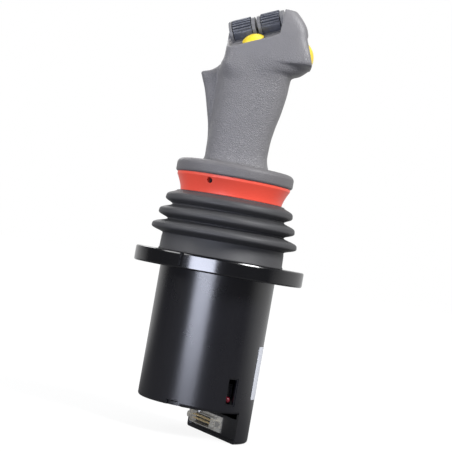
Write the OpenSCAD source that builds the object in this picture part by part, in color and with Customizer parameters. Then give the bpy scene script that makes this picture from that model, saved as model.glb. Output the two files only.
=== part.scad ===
// Industrial joystick: two-axis gimbal in a flanged canister, rubber bellows, moulded hand grip
// with two thumb rollers, a thumb button and a trigger button.
// Origin: on the stick axis in the flange's seating face. +Z runs up the stick, +X to the trigger.

/* [Mounting flange] */
// Outer diameter of the flange
flange_d = 135.6; // [125:0.1:160]
// Thickness of the flange
flange_t = 12; // [9:0.5:18]
// Rounding of the flange's edges
flange_edge = 1.2; // [0.5:0.1:3]
// Pitch circle diameter of the mounting bolts
bolt_pcd = 118; // [112:0.5:121]
// Diameter of the mounting bolt holes
bolt_d = 6.5; // [4:0.1:8]
// Width of the locating groove in the rim
groove_w = 3.5; // [2:0.1:6]

/* [Canister] */
// Outer diameter of the canister
can_d = 92.6; // [90:0.1:100]
// Wall of the canister
can_wall = 2.5; // [2:0.1:3]
// Depth of the canister under the flange
can_h = 105; // [95:1:140]
// Thickness of the bottom cover
cover_t = 3; // [2:0.5:5]
// Width of the status window
window_w = 7.2; // [5:0.1:10]
// Height of the status window
window_h = 19.5; // [12:0.5:24]

/* [Connector bay] */
// Drop of the connector bay under the canister
bay_drop = 23.6; // [20:0.2:34]
// Distance of the bay's mouth from the stick axis
bay_offset = 18; // [14:0.5:20]
// Direction that the bay lies in, from +X
bay_angle = 27; // [15:1:40]
// Floor thickness of the bay
bay_floor = 2.5; // [1.5:0.1:4]
// Thickness of the connector bracket
bracket_t = 1.5; // [1:0.1:2.5]

/* [Bellows] */
// Diameter of the skirt at the flange
skirt_d = 99.4; // [98:0.1:104]
// Height of the skirt
skirt_h = 13; // [8:0.5:18]
// Height of one fold
fold_h = 11.87; // [9:0.01:14]
// Diameter of the lowest fold's crest
crest_d = 116.6; // [110:0.2:122]
// Loss of crest radius from one fold to the next
crest_step = 3.75; // [2:0.05:5]
// Diameter of the top fold's valley, at the lock ring
neck_d = 87; // [84:0.2:92]
// Wall of the bellows
rubber_t = 2; // [1.5:0.1:2.4]

/* [Lock ring] */
// Height of the lock ring
lock_h = 14.9; // [11:0.1:20]
// Diameter of the lock ring's top edge
lock_top_d = 91.2; // [88:0.2:94]
// Diameter of the lock ring's bottom edge
lock_low_d = 82; // [80:0.2:86]
// Diameter of the set screw hole
set_d = 4.4; // [3:0.1:6]

/* [Grip] */
// Diameter of the collar under the grip
collar_d = 94.4; // [90:0.2:100]
// Height of the collar
collar_h = 11; // [8:0.2:16]
// Height of the grip over the collar
grip_h = 132; // [120:1:150]
// Width of the grip's column from heel to fingers
grip_w = 50; // [48:0.5:56]
// Thickness of the grip's head from side to side
grip_t = 46; // [45:0.5:52]
// Wall around the thumb recess
grip_wall = 2; // [1.6:0.1:2.6]

/* [Thumb plate] */
// Rise of the thumb plate towards the trigger
plate_pitch = 21.3; // [16:0.1:26]
// Roll of the thumb plate towards the thumb
plate_roll = 26.8; // [22:0.1:30]
// Turn of the thumb plate about the stick
plate_yaw = 13; // [8:0.5:16]
// Depth of the thumb recess
recess_d = 3; // [2:0.1:4]
// Diameter of the rollers
roller_d = 20; // [18:0.1:20.6]
// Length of each roller
roller_len = 15.2; // [13:0.1:15.6]
// Space between the two rollers
roller_gap = 8.4; // [7:0.1:9]
// Diameter of the rollers' axle
axle_d = 3; // [2:0.1:4]
// Depth of the rollers' grooves
rib_h = 0.8; // [0.5:0.1:1.2]

/* [Buttons] */
// Diameter of the thumb button
thumb_d = 17.6; // [14:0.1:18]
// Diameter of the trigger button
trigger_d = 20; // [17:0.1:21]
// Height of the trigger button's dome
dome_h = 3.9; // [2.5:0.1:5]
// Travel of both buttons
press_travel = 1.8; // [1:0.1:2]

/* [Gimbal] */
// Tilt of the stick to each side
tilt_limit = 16; // [10:1:18]
// Diameter of the pivot pins
pin_d = 8; // [6:0.1:9]
// Outer diameter of the gimbal ring
ring_d = 56; // [55:0.2:57]
// Bore of the gimbal ring
ring_bore = 42; // [41:0.2:43]
// Height of the gimbal ring
ring_h = 16; // [15:0.5:18]
// Wall of the pivot bushes
bush_t = 2; // [1:0.1:2.5]
// Diameter of the centring springs' wire
wire_d = 1.7; // [1.2:0.1:1.8]

/* [Stick] */
// Diameter of the stick
shaft_d = 14; // [12:0.2:14.4]
// Bore of the stick for the wiring
shaft_bore = 8; // [5:0.2:9]
// Diameter of the tail bush
tail_d = 18; // [16.5:0.1:19]
// Distance from the pivot to the travel gate's underside
gate_low = 39; // [35:0.5:42]
// Thickness of the travel gate
gate_t = 5; // [3:0.5:6]
// Distance from the travel gate to the circuit board
board_drop = 23; // [16:0.5:30]
// Thickness of the circuit boards
board_t = 1.6; // [1:0.1:2.4]

/* [Fits] */
// Radial running gap of the pins and the axle
run_gap = 0.05; // [0.02:0.01:0.09]
// Gap between pieces that are pushed together
push_gap = 0.03; // [0.02:0.01:0.1]
// Gap around loose covers and plates
loose_gap = 0.3; // [0.2:0.05:0.4]

/* [Hidden] */

// Smoothness of round faces
round_fn = 96;
small_fn = 32;

// Shared radii and levels
can_r = can_d / 2;
can_in_r = can_r - can_wall;
spigot_h = 3;
lip_r = can_in_r + 4.2;
lip_t = 3;
lip_z = flange_t - lip_t;
frame_r = can_in_r - loose_gap;
frame_wall = 6;
frame_in_r = frame_r - frame_wall;
frame_low = 16;
pin_r = pin_d / 2;
bush_r = pin_r + bush_t;
ring_r = ring_d / 2;
ring_in_r = ring_bore / 2;
shaft_r = shaft_d / 2;

// Bellows: skirt, folds and lips
skirt_r = skirt_d / 2;
fold_count = 3;
fold_z = flange_t + skirt_h;
bellows_top = fold_z + fold_count * fold_h;
skirt_top_r = skirt_r - 0.9;
neck_r = neck_d / 2;
crest_r = crest_d / 2;
fold_steps = 12;
fold_round = 0.65;
clamp_t = 2.5;
clamp_r = skirt_r - rubber_t - loose_gap;
clamp_in_r = clamp_r - 5;
clamp_hole_r = clamp_r - 2.3;
clamp_screw_r = 1.5;
clamp_head_r = 2.2;
clamp_count = 6;
lock_in_r = 30;
carrier_r = neck_r - rubber_t - 1;

// Stick levels
lock_top = bellows_top + lock_h;
grip_z = lock_top + collar_h;
set_angle = -114.9;
set_z = bellows_top + lock_h * 0.68;
set_end = lerp(lock_low_d, lock_top_d, 0.7) / 2 - set_d;
set_len = set_end - lock_in_r;
insert_r = shaft_r + 5;
insert_h = 44;
shaft_top = grip_z + insert_h - 4;
tail_drop = 5;
tail_bush_h = 11;
shaft_low = gate_low + tail_drop + 1;

// Opening of the travel gate, from the tail's reach at the tilt limit on both axes
tail_r = tail_d / 2;
gate_slope = tan(tilt_limit) / cos(tilt_limit);
gate_half = gate_low * gate_slope + tail_r * sqrt(1 + gate_slope * gate_slope) + loose_gap;
post_r = 2.9;
post_ring_r = frame_r - post_r - 0.1;
board_z = -gate_low - board_drop;

// Canister bottom and the connector bay
cover_z = -can_h + 0.2;
cover_top = cover_z + cover_t;
bay_z = -can_h - bay_drop;
edge_r = can_wall - 0.1;
bracket_n = bay_offset + 1.5;
bracket_half = sqrt(pow(can_in_r, 2) - pow(bracket_n + bracket_t, 2)) - loose_gap;
bracket_h = 16.5;
bracket_low = bay_z + bay_floor;
dsub_w = 53;
dsub_h = 12.5;
dsub_t = 1;
dsub_open_w = 38.3;
dsub_open_h = 8.4;
dsub_rim = 0.5;
dsub_proud = 6;
dsub_shift = bracket_half - dsub_w / 2 - 0.2;
dsub_z = bracket_low + bracket_h / 2 - 0.3;
jack_spacing = 47;
boss_angles = [110, 178, -83];
boss_r = 4;
boss_ring_r = can_in_r - boss_r;
boss_h = 12;

// Status window and lamp
window_angle = -54.7;
window_z = -can_h + 27 - window_h;
lamp_z = window_z + 3;
lamp_r = 2.5;
status_n = can_in_r - 6;
notch_angle = -110.7;
notch_w = 12.8;
notch_h = 4;
groove_angle = -115.5;

// Springs
coil_r = pin_r + 2.6;
wire_r = wire_d / 2;
coil_turns = 3.5;
coil_len = 6.8;
wire_sides = 8;
coil_rings = 16;
leg_len = 12;
lug_w = 5;
lug_low = 13.5;
lug_top = ring_h / 2 - 0.2;
outer_coil_x = ring_r + 0.7;
hub_y = 10;
hub_x = 10;
inner_coil_y = hub_y + 1.2;
magnet_r = 3;
magnet_t = 1.2;
outer_pin_end = frame_r - 3.5;
inner_pin_end = ring_r - 0.5;

// Grip: profile points as [height over the collar, distance from the axis] on the standard
// 132 mm high and 50 mm wide grip
std_h = 132;
std_w = 50;
heel_line = [
    [0, -27.2], [5, -25.8], [16, -25.6], [28, -27], [41.5, -30.6], [57.3, -35.4], [68.5, -40.1],
    [70, -40.6], [71.2, -39.3], [72.6, -34.4], [76.9, -28.9], [82, -25.7], [88, -24.6], [132, -24.4]
];
finger_line = [
    [0, 26.4], [4.5, 23.8], [11, 22.2], [22, 22.2], [34, 23.8], [48.5, 27.2], [63.5, 29.7],
    [76, 30], [77.8, 31], [80.2, 37.5], [84.9, 43.2], [87.8, 46], [89, 46.2], [107.6, 39.4],
    [114, 37], [120, 35.6], [127, 30.5], [131, 27], [132, 25]
];
side_line = [
    [0, 22], [8, 20.5], [20, 20], [45, 20.5], [68, 21], [88, 22.6], [110, 23], [126, 22], [132, 20]
];
grip_levels = [
    for (h = [0 : 5 : 65]) h,
    for (h = [68 : 1.5 : 71]) h,
    72.6, 75,
    for (h = [78 : 2.5 : 90.5]) h,
    95,
    for (h = [101 : 6 : 125]) h,
    129, 132
];
outline_steps = 20;
fin_t = 6.5;
column_power = 2.35;
head_power = 8;
head_skew = 0.16;
skew_end = 10;
head_low = 66;
head_rise = 26;
k_h = grip_h / std_h;
k_w = grip_w / std_w;
k_t = grip_t / 46;

// Frame of the thumb plate and the pieces in it
head_x = -1.6 * k_w;
head_z = grip_z + 109.6 * k_h;
hood_x = 17.4 * k_w;
roller_r = roller_d / 2;
roller_v = 7.2;
roller_n = 1.8;
roller_u = (roller_len + roller_gap) / 2;
cheek_gap = 0.5;
cheek_mid = roller_gap - 2 * cheek_gap;
cheek_end = 3;
cheek_rear = 1.4;
trough_in_r = roller_r + 0.4;
trough_r = roller_r + 1.2;
trough_rim = -recess_d + 1;
house_front = roller_u + roller_len / 2 + cheek_gap + cheek_end;
house_rear = roller_u + roller_len / 2 + cheek_gap + cheek_rear;
house_len = house_rear + house_front;
axle_r = axle_d / 2;
rib_pitch = 14.5;
rib_half = 5;
rib_w = 1.25;
roller_board_w = 11;
roller_board_n = roller_n - trough_r - push_gap;
well_gap = 0.4;
thumb_u = -3.4;
thumb_v = -12.5;
thumb_r = thumb_d / 2;
thumb_cap = 3.4;
thumb_rim = 1.2;
thumb_n = -recess_d + press_travel - thumb_rim;
thumb_well = 16;
stem_r = 2.5;
guide_r = 4.5;
guide_t = 1.5;
guide_up = 5;
switch_r = 6;
switch_t = 2;
spring_r = guide_r + 1;
spring_wire = 0.4;

// Frame of the trigger button
trigger_pitch = 20;
trigger_x = 41.3 * k_w;
trigger_y = -head_skew * skew_end;
trigger_z = grip_z + 98 * k_h;
trigger_r = trigger_d / 2;
trigger_well = 17;
trigger_rim = 0.8;
trigger_n = -0.6;
pad_w = trigger_d + 5;

// Places of the grip's screws as [x, height]
shell_screw_places = [[-17, 20], [16, 22], [-18, 62], [20, 68]];

function lerp(a, b, t) = a + (b - a) * t;
function ease(t) = t * t * (3 - 2 * t);
function heel(h) = k_w * lookup(h, heel_line);
function finger(h) = k_w * lookup(h, finger_line);
function side(h) = k_t * lookup(h, side_line);
function fold_r(z) =
    let (t = (z - fold_z) / fold_h, i = min(floor(t), fold_count - 1), f = t - i)
    let (low = lerp(skirt_top_r, neck_r, i / fold_count))
    let (high = lerp(skirt_top_r, neck_r, (i + 1) / fold_count))
    let (rise = crest_r - i * crest_step - (low + high) / 2)
    lerp(low, high, f) + rise * pow(max(0, sin(180 * f)), fold_round);

// How far the form at this height has turned from column to head, from 0 to 1
function headness(h) = ease(min(1, max(0, (h - head_low) / head_rise)));

// Half thickness of the grip at x on one level: the column and the thin heel fin, blended
function half_y(h, x, inset) =
    let (x0 = heel(h) + inset, x1 = finger(h) - inset)
    let (c0 = max(x0, -26.5 * k_w + inset), cm = (c0 + x1) / 2, cr = (x1 - c0) / 2)
    let (power = x < cm ? lerp(column_power, head_power, headness(h)) : column_power)
    let (col = abs(x - cm) >= cr ? 0 : pow(1 - pow(abs(x - cm) / cr, power), 1 / power))
    let (fm = (x0 + x1) / 2, fr = (x1 - x0) / 2)
    let (fin = abs(x - fm) >= fr ? 0 : pow(1 - pow(abs(x - fm) / fr, 6), 1 / 2.2))
    pow(pow((side(h) - inset) * col, 3) + pow((fin_t - inset / 2) * fin, 3), 1 / 3);

function outline(h, inset) = [
    for (i = [0 : 2 * outline_steps - 1])
        let (t = 180 * i / outline_steps)
        let (x0 = heel(h) + inset, x1 = finger(h) - inset)
        let (x = (x0 + x1) / 2 + (x1 - x0) / 2 * cos(t))
        let (y = i % outline_steps == 0 ? 0 : half_y(h, x, inset))
        [x, (i < outline_steps ? y : -y) - head_skew * headness(h) * min(x, skew_end), grip_z + h * k_h]
];

// Solid between a closed list of rings with the same number of points each
module skin(rings) {
    n = len(rings[0]);
    m = len(rings);
    points = [for (r = rings) for (p = r) p];
    sides = [
        for (j = [0 : m - 2]) for (i = [0 : n - 1])
            let (a = j * n + i, b = j * n + (i + 1) % n)
            each [[a, b, b + n], [a, b + n, a + n]]
    ];
    low = [for (i = [1 : n - 2]) [0, i + 1, i]];
    top = [for (i = [1 : n - 2]) [(m - 1) * n, (m - 1) * n + i, (m - 1) * n + i + 1]];
    polyhedron(points = points, faces = [for (f = concat(sides, low, top)) [f[0], f[2], f[1]]]);
}

// The grip's outer form
module grip_form(inset = 0) {
    skin([for (h = grip_levels) outline(h, inset)]);
}

module plate_frame() {
    translate([head_x, 0, head_z])
    rotate([0, 0, -plate_yaw])
    rotate([0, -plate_pitch, 0])
    rotate([plate_roll, 0, 0])
    children();
}

module trigger_frame() {
    translate([trigger_x, trigger_y, trigger_z]) rotate([0, 90 - trigger_pitch, 0]) children();
}

module bay_frame() {
    rotate([0, 0, bay_angle]) children();
}

// Frame of the connector: x along the mouth, y down, z out of the mouth
module dsub_frame() {
    bay_frame() translate([bracket_n, dsub_shift, dsub_z]) rotate([0, -90, 0]) rotate([0, 0, 90])
    children();
}

module tube(r1, r2, h) {
    difference() {
        cylinder(r = r2, h = h, $fn = round_fn);
        translate([0, 0, -1]) cylinder(r = r1, h = h + 2, $fn = round_fn);
    }
}

module along_x(x) {
    translate([x, 0, 0]) rotate([0, 90, 0]) children();
}

module along_y(y) {
    translate([0, y, 0]) rotate([-90, 0, 0]) children();
}

module around(count, r, start = 0) {
    for (i = [0 : count - 1]) rotate([0, 0, start + i * 360 / count]) translate([r, 0, 0]) children();
}

// Ring of wire points around p in the plane of the directions u and v
function wire_ring(p, u, v) = [
    for (k = [0 : wire_sides - 1])
        let (a = 360 * k / wire_sides)
        p + wire_r * (cos(a) * u + sin(a) * v)
];

// Torsion spring about +Z from z = 0: its first leg runs to -Y at +X, its last to -Y at -X
module torsion_spring() {
    steps = coil_rings * coil_turns;
    rise = coil_len / coil_turns;
    lean = atan2(rise, 360 * coil_r * PI / 180);
    first = [for (k = [0 : 1]) wire_ring([coil_r, -leg_len * (1 - k) - 0.2 * k, 0], [1, 0, 0], [0, 0, 1])];
    coil = [
        for (k = [0 : steps])
            let (a = 360 * k / coil_rings, z = coil_len * k / steps)
            wire_ring([coil_r * cos(a), coil_r * sin(a), z], [cos(a), sin(a), 0],
                      [sin(lean) * sin(a), -sin(lean) * cos(a), cos(lean)])
    ];
    last = [for (k = [0 : 1]) wire_ring([-coil_r, -0.2 * (1 - k) - leg_len * k, coil_len], [-1, 0, 0], [0, 0, 1])];
    skin(concat(first, coil, last));
}

// Compression spring from z = 0, with its wire inside the stated height
module push_spring(r, h, turns, wire) {
    rings = 10;
    steps = rings * turns;
    skin([
        for (k = [0 : steps])
            let (a = 360 * k / rings, z = wire + (h - 2 * wire) * k / steps)
            [for (j = [0 : 5]) let (b = 60 * j) [(r + wire * cos(b)) * cos(a), (r + wire * cos(b)) * sin(a), z + wire * sin(b)]]
    ]);
}

module mounting_flange() {
    color([0.05, 0.05, 0.06])
    difference() {
        rotate_extrude($fn = round_fn)
        polygon([
            [can_in_r, spigot_h], [can_r + push_gap, spigot_h], [can_r + push_gap, 0],
            [flange_d / 2 - flange_edge, 0], [flange_d / 2 - flange_edge * 0.3, flange_edge * 0.3],
            [flange_d / 2, flange_edge], [flange_d / 2, flange_t - flange_edge],
            [flange_d / 2 - flange_edge * 0.3, flange_t - flange_edge * 0.3],
            [flange_d / 2 - flange_edge, flange_t], [lip_r + push_gap, flange_t],
            [lip_r + push_gap, lip_z], [can_in_r, lip_z]
        ]);
        around(4, bolt_pcd / 2, 45) translate([0, 0, -1]) cylinder(d = bolt_d, h = flange_t + 2, $fn = small_fn);
        around(clamp_count, clamp_hole_r, 30)
            translate([0, 0, spigot_h + 1]) cylinder(r = clamp_screw_r + push_gap, h = flange_t, $fn = small_fn);
        rotate([0, 0, groove_angle]) translate([flange_d / 2 - 1.6, -groove_w / 2, 1.4])
            cube([3, groove_w, flange_t]);
    }
}

// Wall of the canister as a ring profile from z0 to z1, with its low outer edge rounded
module wall_profile(z0, z1) {
    polygon([
        [can_in_r, z0], [can_r - edge_r, z0],
        for (a = [-90 : 15 : 0]) [can_r - edge_r + edge_r * cos(a), z0 + edge_r + edge_r * sin(a)],
        [can_r, z1], [can_in_r, z1]
    ]);
}

module canister_shell() {
    color([0.06, 0.06, 0.07])
    difference() {
        union() {
            rotate_extrude($fn = round_fn) wall_profile(-can_h, spigot_h);
            for (a = boss_angles) rotate([0, 0, a]) translate([boss_ring_r, 0, cover_top])
                cylinder(r = boss_r + 1, h = boss_h, $fn = small_fn);
            intersection() {
                union() {
                    rotate_extrude($fn = round_fn) wall_profile(bay_z, -can_h + 8);
                    translate([0, 0, bay_z]) cylinder(r = can_r - edge_r, h = bay_floor, $fn = round_fn);
                }
                bay_frame() translate([bay_offset, -can_d, bay_z - 1]) cube([can_d, 2 * can_d, bay_drop + 9]);
            }
        }
        for (a = boss_angles) rotate([0, 0, a]) translate([boss_ring_r, 0, cover_top - 1])
            cylinder(r = clamp_screw_r + push_gap, h = boss_h - 2, $fn = small_fn);
        rotate([0, 0, window_angle]) translate([can_in_r - 3, -window_w / 2, window_z]) cube([9, window_w, window_h]);
        rotate([0, 0, window_angle]) translate([can_r - 0.9, 0, window_z + window_h / 2]) rotate([0, 90, 0])
            linear_extrude(3) square([window_h + 2.4, window_w + 2.4], center = true);
        rotate([0, 0, notch_angle]) translate([can_in_r - 1, 0, -can_h - 1]) rotate([90, 0, 90])
            linear_extrude(6) polygon([[-notch_w / 2, 0], [notch_w / 2, 0], [notch_w / 2 - 3, notch_h + 1], [-notch_w / 2, notch_h + 1]]);
    }
}

module bottom_cover() {
    color([0.07, 0.07, 0.08])
    difference() {
        translate([0, 0, cover_z]) cylinder(r = can_in_r - push_gap, h = cover_t, $fn = round_fn);
        bay_frame() translate([bay_offset - loose_gap, -can_d, cover_z - 1]) cube([can_d, 2 * can_d, cover_t + 2]);
        for (a = boss_angles) rotate([0, 0, a]) translate([boss_ring_r, 0, cover_z - 1])
            cylinder(r = clamp_screw_r + 0.2, h = cover_t + 2, $fn = small_fn);
    }
}

// Round-headed screw with its head's seat at z = 0 and its shank down to -h
module screw(head_r, head_h, r, h) {
    difference() {
        cylinder(r = head_r, h = head_h, $fn = small_fn);
        translate([0, 0, head_h * 0.4]) cylinder(r = r * 0.85, h = head_h, $fn = 6);
    }
    translate([0, 0, -h]) cylinder(r = r, h = h + head_h * 0.2, $fn = small_fn);
}

module cover_screws() {
    color([0.7, 0.7, 0.7])
    for (a = boss_angles) rotate([0, 0, a]) translate([boss_ring_r, 0, cover_z]) rotate([180, 0, 0])
        screw(clamp_head_r, 1.4, clamp_screw_r, cover_t + 7);
}

module d_shape(w, h) {
    lean = 10;
    cut = h * tan(lean) / 2;
    polygon([
        [-w / 2 + 1, -h / 2], [w / 2 - 1, -h / 2], [w / 2, -h / 2 + 1], [w / 2 - 2 * cut, h / 2 - 1],
        [w / 2 - 2 * cut - 1, h / 2], [-w / 2 + 2 * cut + 1, h / 2], [-w / 2 + 2 * cut, h / 2 - 1],
        [-w / 2, -h / 2 + 1]
    ]);
}

module connector_bracket() {
    color([0.72, 0.7, 0.62])
    difference() {
        union() {
            bay_frame() translate([bracket_n, -bracket_half, bracket_low]) cube([bracket_t, 2 * bracket_half, bracket_h]);
            bay_frame() translate([bracket_n, -bracket_half + 12, bracket_low]) cube([9, 2 * bracket_half - 24, bracket_t]);
        }
        dsub_frame() translate([0, 0, -bracket_t - 1]) linear_extrude(bracket_t + 2) square([dsub_open_w + 2, dsub_open_h + 2], center = true);
        dsub_frame() for (s = [-1, 1]) translate([s * jack_spacing / 2, 0, -bracket_t - 1]) cylinder(r = clamp_screw_r + 0.1, h = bracket_t + 2, $fn = small_fn);
    }
}

module dsub_flange() {
    color([0.78, 0.76, 0.7])
    dsub_frame() difference() {
        union() {
            linear_extrude(dsub_t) square([dsub_w, dsub_h], center = true);
            linear_extrude(dsub_t + dsub_proud) d_shape(dsub_open_w + 2 * dsub_rim, dsub_open_h + 2 * dsub_rim);
        }
        translate([0, 0, -1]) linear_extrude(dsub_t + dsub_proud + 2) d_shape(dsub_open_w, dsub_open_h);
        for (s = [-1, 1]) translate([s * jack_spacing / 2, 0, -1]) cylinder(r = clamp_screw_r + 0.1, h = dsub_t + 2, $fn = small_fn);
    }
}

// Places of the two contact rows
module contact_places() {
    for (row = [0, 1]) for (i = [0 : 12 - row])
        translate([(i - (12 - row) / 2) * 2.77, -1.42 + row * 2.84, 0]) children();
}

module dsub_insulator() {
    color([0.1, 0.1, 0.11])
    dsub_frame() difference() {
        union() {
            translate([0, 0, -bracket_t - 6]) linear_extrude(bracket_t + 7.2) d_shape(dsub_open_w - 2 * push_gap, dsub_open_h - 2 * push_gap);
            translate([0, 0, -bracket_t - 6]) linear_extrude(5.8) square([dsub_open_w + 3, dsub_open_h + 1.4], center = true);
        }
        contact_places() translate([0, 0, -0.5]) cylinder(r = 0.5 + push_gap, h = 4, $fn = 16);
    }
}

module dsub_contacts() {
    color([0.85, 0.68, 0.3])
    dsub_frame() contact_places() translate([0, 0, -0.5]) cylinder(r = 0.5, h = dsub_proud - 0.2, $fn = 16);
}

module jack_screws() {
    color([0.75, 0.74, 0.7])
    dsub_frame() for (s = [-1, 1]) translate([s * jack_spacing / 2, 0, dsub_t]) {
        difference() {
            cylinder(r = 2.7, h = 5, $fn = 6);
            translate([0, 0, 1]) cylinder(r = 1.3, h = 6, $fn = small_fn);
        }
        translate([0, 0, -bracket_t - dsub_t - 3]) cylinder(r = clamp_screw_r, h = bracket_t + dsub_t + 3.5, $fn = small_fn);
    }
}

module status_board() {
    color([0.1, 0.35, 0.2])
    rotate([0, 0, window_angle]) translate([status_n - board_t, -6, cover_top]) cube([board_t, 12, window_h]);
}

module status_led() {
    color([0.85, 0.1, 0.08])
    rotate([0, 0, window_angle]) translate([status_n, 0, lamp_z]) rotate([0, 90, 0]) {
        cylinder(r = lamp_r + 0.5, h = 1, $fn = small_fn);
        cylinder(r = lamp_r, h = 3.6, $fn = small_fn);
        translate([0, 0, 3.6]) sphere(r = lamp_r, $fn = small_fn);
    }
}

// Lug that holds the end of a spring leg; its hole runs along -Z from the lug's top
module spring_lug(x0, x1, y, z_top) {
    translate([x0, y - lug_w / 2, -lug_low]) cube([x1 - x0, lug_w, lug_low - z_top]);
}

module gimbal_frame() {
    fixed_x = outer_coil_x + coil_len;
    color([0.72, 0.73, 0.75])
    difference() {
        union() {
            difference() {
                union() {
                    translate([0, 0, lip_z]) cylinder(r = lip_r, h = lip_t, $fn = round_fn);
                    translate([0, 0, -frame_low]) cylinder(r = frame_r, h = frame_low + flange_t, $fn = round_fn);
                }
                translate([0, 0, -frame_low - 1]) cylinder(r = frame_in_r, h = frame_low + flange_t + 2, $fn = round_fn);
            }
            for (m = [0, 1]) mirror([m, 0, 0])
                spring_lug(fixed_x - 1.9, frame_in_r + 1, -coil_r, lug_top);
        }
        for (m = [0, 1]) mirror([m, 0, 0]) {
            along_x(frame_in_r - 5) cylinder(r = bush_r, h = frame_wall + 10, $fn = 64);
            translate([fixed_x, -coil_r, -lug_low - 1]) cylinder(r = wire_r + 0.1, h = 8, $fn = small_fn);
        }
        around(clamp_count, clamp_hole_r, 30) translate([0, 0, lip_z - 1]) cylinder(r = clamp_screw_r + 0.2, h = lip_t + 2, $fn = small_fn);
        around(4, post_ring_r, 45) translate([0, 0, -frame_low - 1]) cylinder(r = clamp_screw_r + push_gap, h = 9, $fn = small_fn);
    }
}

module outer_bushes() {
    color([0.75, 0.6, 0.3])
    for (m = [0, 1]) mirror([m, 0, 0]) along_x(frame_in_r - 0.4) tube(pin_r + run_gap, bush_r - push_gap, 3);
}

module frame_sensor() {
    color([0.1, 0.1, 0.1])
    along_x(outer_pin_end + magnet_t + 0.6) cylinder(r = bush_r - push_gap, h = frame_r - outer_pin_end - magnet_t - 0.7, $fn = 64);
}

module travel_gate() {
    color([0.7, 0.71, 0.73])
    difference() {
        translate([0, 0, -gate_low]) cylinder(r = frame_r, h = gate_t, $fn = round_fn);
        translate([-gate_half, -gate_half, -gate_low - 1]) cube([2 * gate_half, 2 * gate_half, gate_t + 2]);
        around(4, post_ring_r, 45) translate([0, 0, -gate_low - 1]) cylinder(r = clamp_screw_r + push_gap, h = gate_t + 2, $fn = small_fn);
    }
}

module gate_posts() {
    color([0.8, 0.8, 0.82])
    around(4, post_ring_r, 45) {
        translate([0, 0, -gate_low + gate_t]) cylinder(r = post_r, h = gate_low - gate_t - frame_low, $fn = small_fn);
        translate([0, 0, -frame_low - 0.5]) cylinder(r = clamp_screw_r, h = 7, $fn = small_fn);
    }
}

module board_standoffs() {
    color([0.8, 0.8, 0.82])
    around(4, post_ring_r, 45) {
        difference() {
            translate([0, 0, board_z]) cylinder(r = post_r, h = board_drop, $fn = small_fn);
            translate([0, 0, board_z - 1]) cylinder(r = clamp_screw_r + push_gap, h = 9, $fn = small_fn);
        }
        translate([0, 0, -gate_low - 0.5]) cylinder(r = clamp_screw_r, h = gate_t, $fn = small_fn);
    }
}

module main_board() {
    color([0.08, 0.35, 0.2])
    difference() {
        translate([0, 0, board_z - board_t]) cylinder(r = frame_r, h = board_t, $fn = round_fn);
        around(4, post_ring_r, 45) translate([0, 0, board_z - board_t - 1]) cylinder(r = clamp_screw_r + 0.2, h = board_t + 2, $fn = small_fn);
    }
}

module board_parts() {
    color([0.12, 0.12, 0.13])
    translate([0, 0, board_z]) {
        translate([-8, -8, 0]) cube([16, 16, 1.6]);
        translate([14, -20, 0]) cube([6, 12, 1.4]);
        translate([-24, 6, 0]) cube([9, 6, 1.4]);
        translate([-12, 22, 0]) cube([24, 6, 8]);
        for (i = [0 : 2]) translate([18, 2 + i * 7, 0]) cylinder(r = 2.5, h = 5, $fn = small_fn);
    }
}

module stack_screws() {
    color([0.7, 0.7, 0.7])
    around(4, post_ring_r, 45) translate([0, 0, board_z - board_t]) rotate([180, 0, 0])
        screw(post_r - 0.3, 1.8, clamp_screw_r, board_t + 6);
}

module bellows() {
    outer = concat(
        [[skirt_r, flange_t], [skirt_r, flange_t + 1], [skirt_r - 0.5, flange_t + 1.6], [skirt_top_r + 0.3, fold_z - 2]],
        [for (k = [0 : fold_steps * fold_count]) let (z = fold_z + k * fold_h / fold_steps) [fold_r(z), z]]
    );
    inner = concat(
        [[carrier_r - 6, bellows_top], [carrier_r - 6, bellows_top - rubber_t]],
        [for (k = [fold_steps * fold_count - 2 : -1 : 1]) let (z = fold_z + k * fold_h / fold_steps) [fold_r(z) - rubber_t * 1.2, z]],
        [[skirt_top_r - rubber_t, fold_z - 2], [skirt_r - rubber_t, flange_t + rubber_t], [clamp_in_r, flange_t + rubber_t], [clamp_in_r, flange_t]]
    );
    color([0.17, 0.17, 0.18])
    difference() {
        rotate_extrude($fn = round_fn) polygon(concat(outer, inner));
        around(clamp_count, clamp_hole_r, 30) translate([0, 0, flange_t - 1]) cylinder(r = clamp_screw_r + 0.2, h = rubber_t + 2, $fn = small_fn);
    }
}

module clamp_ring() {
    color([0.75, 0.75, 0.77])
    difference() {
        translate([0, 0, flange_t + rubber_t]) tube(clamp_in_r, clamp_r, clamp_t);
        around(clamp_count, clamp_hole_r, 30) translate([0, 0, flange_t]) cylinder(r = clamp_screw_r + 0.2, h = 9, $fn = small_fn);
    }
}

module clamp_screws() {
    color([0.7, 0.7, 0.7])
    around(clamp_count, clamp_hole_r, 30) translate([0, 0, flange_t + rubber_t + clamp_t])
        screw(clamp_head_r, 1.8, clamp_screw_r, clamp_t + rubber_t + lip_t + 4);
}

module outer_springs() {
    color([0.75, 0.76, 0.78])
    for (m = [0, 1]) mirror([m, 0, 0])
        translate([outer_coil_x, 0, 0]) rotate(a = 120, v = [1, 1, 1]) torsion_spring();
}

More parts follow.
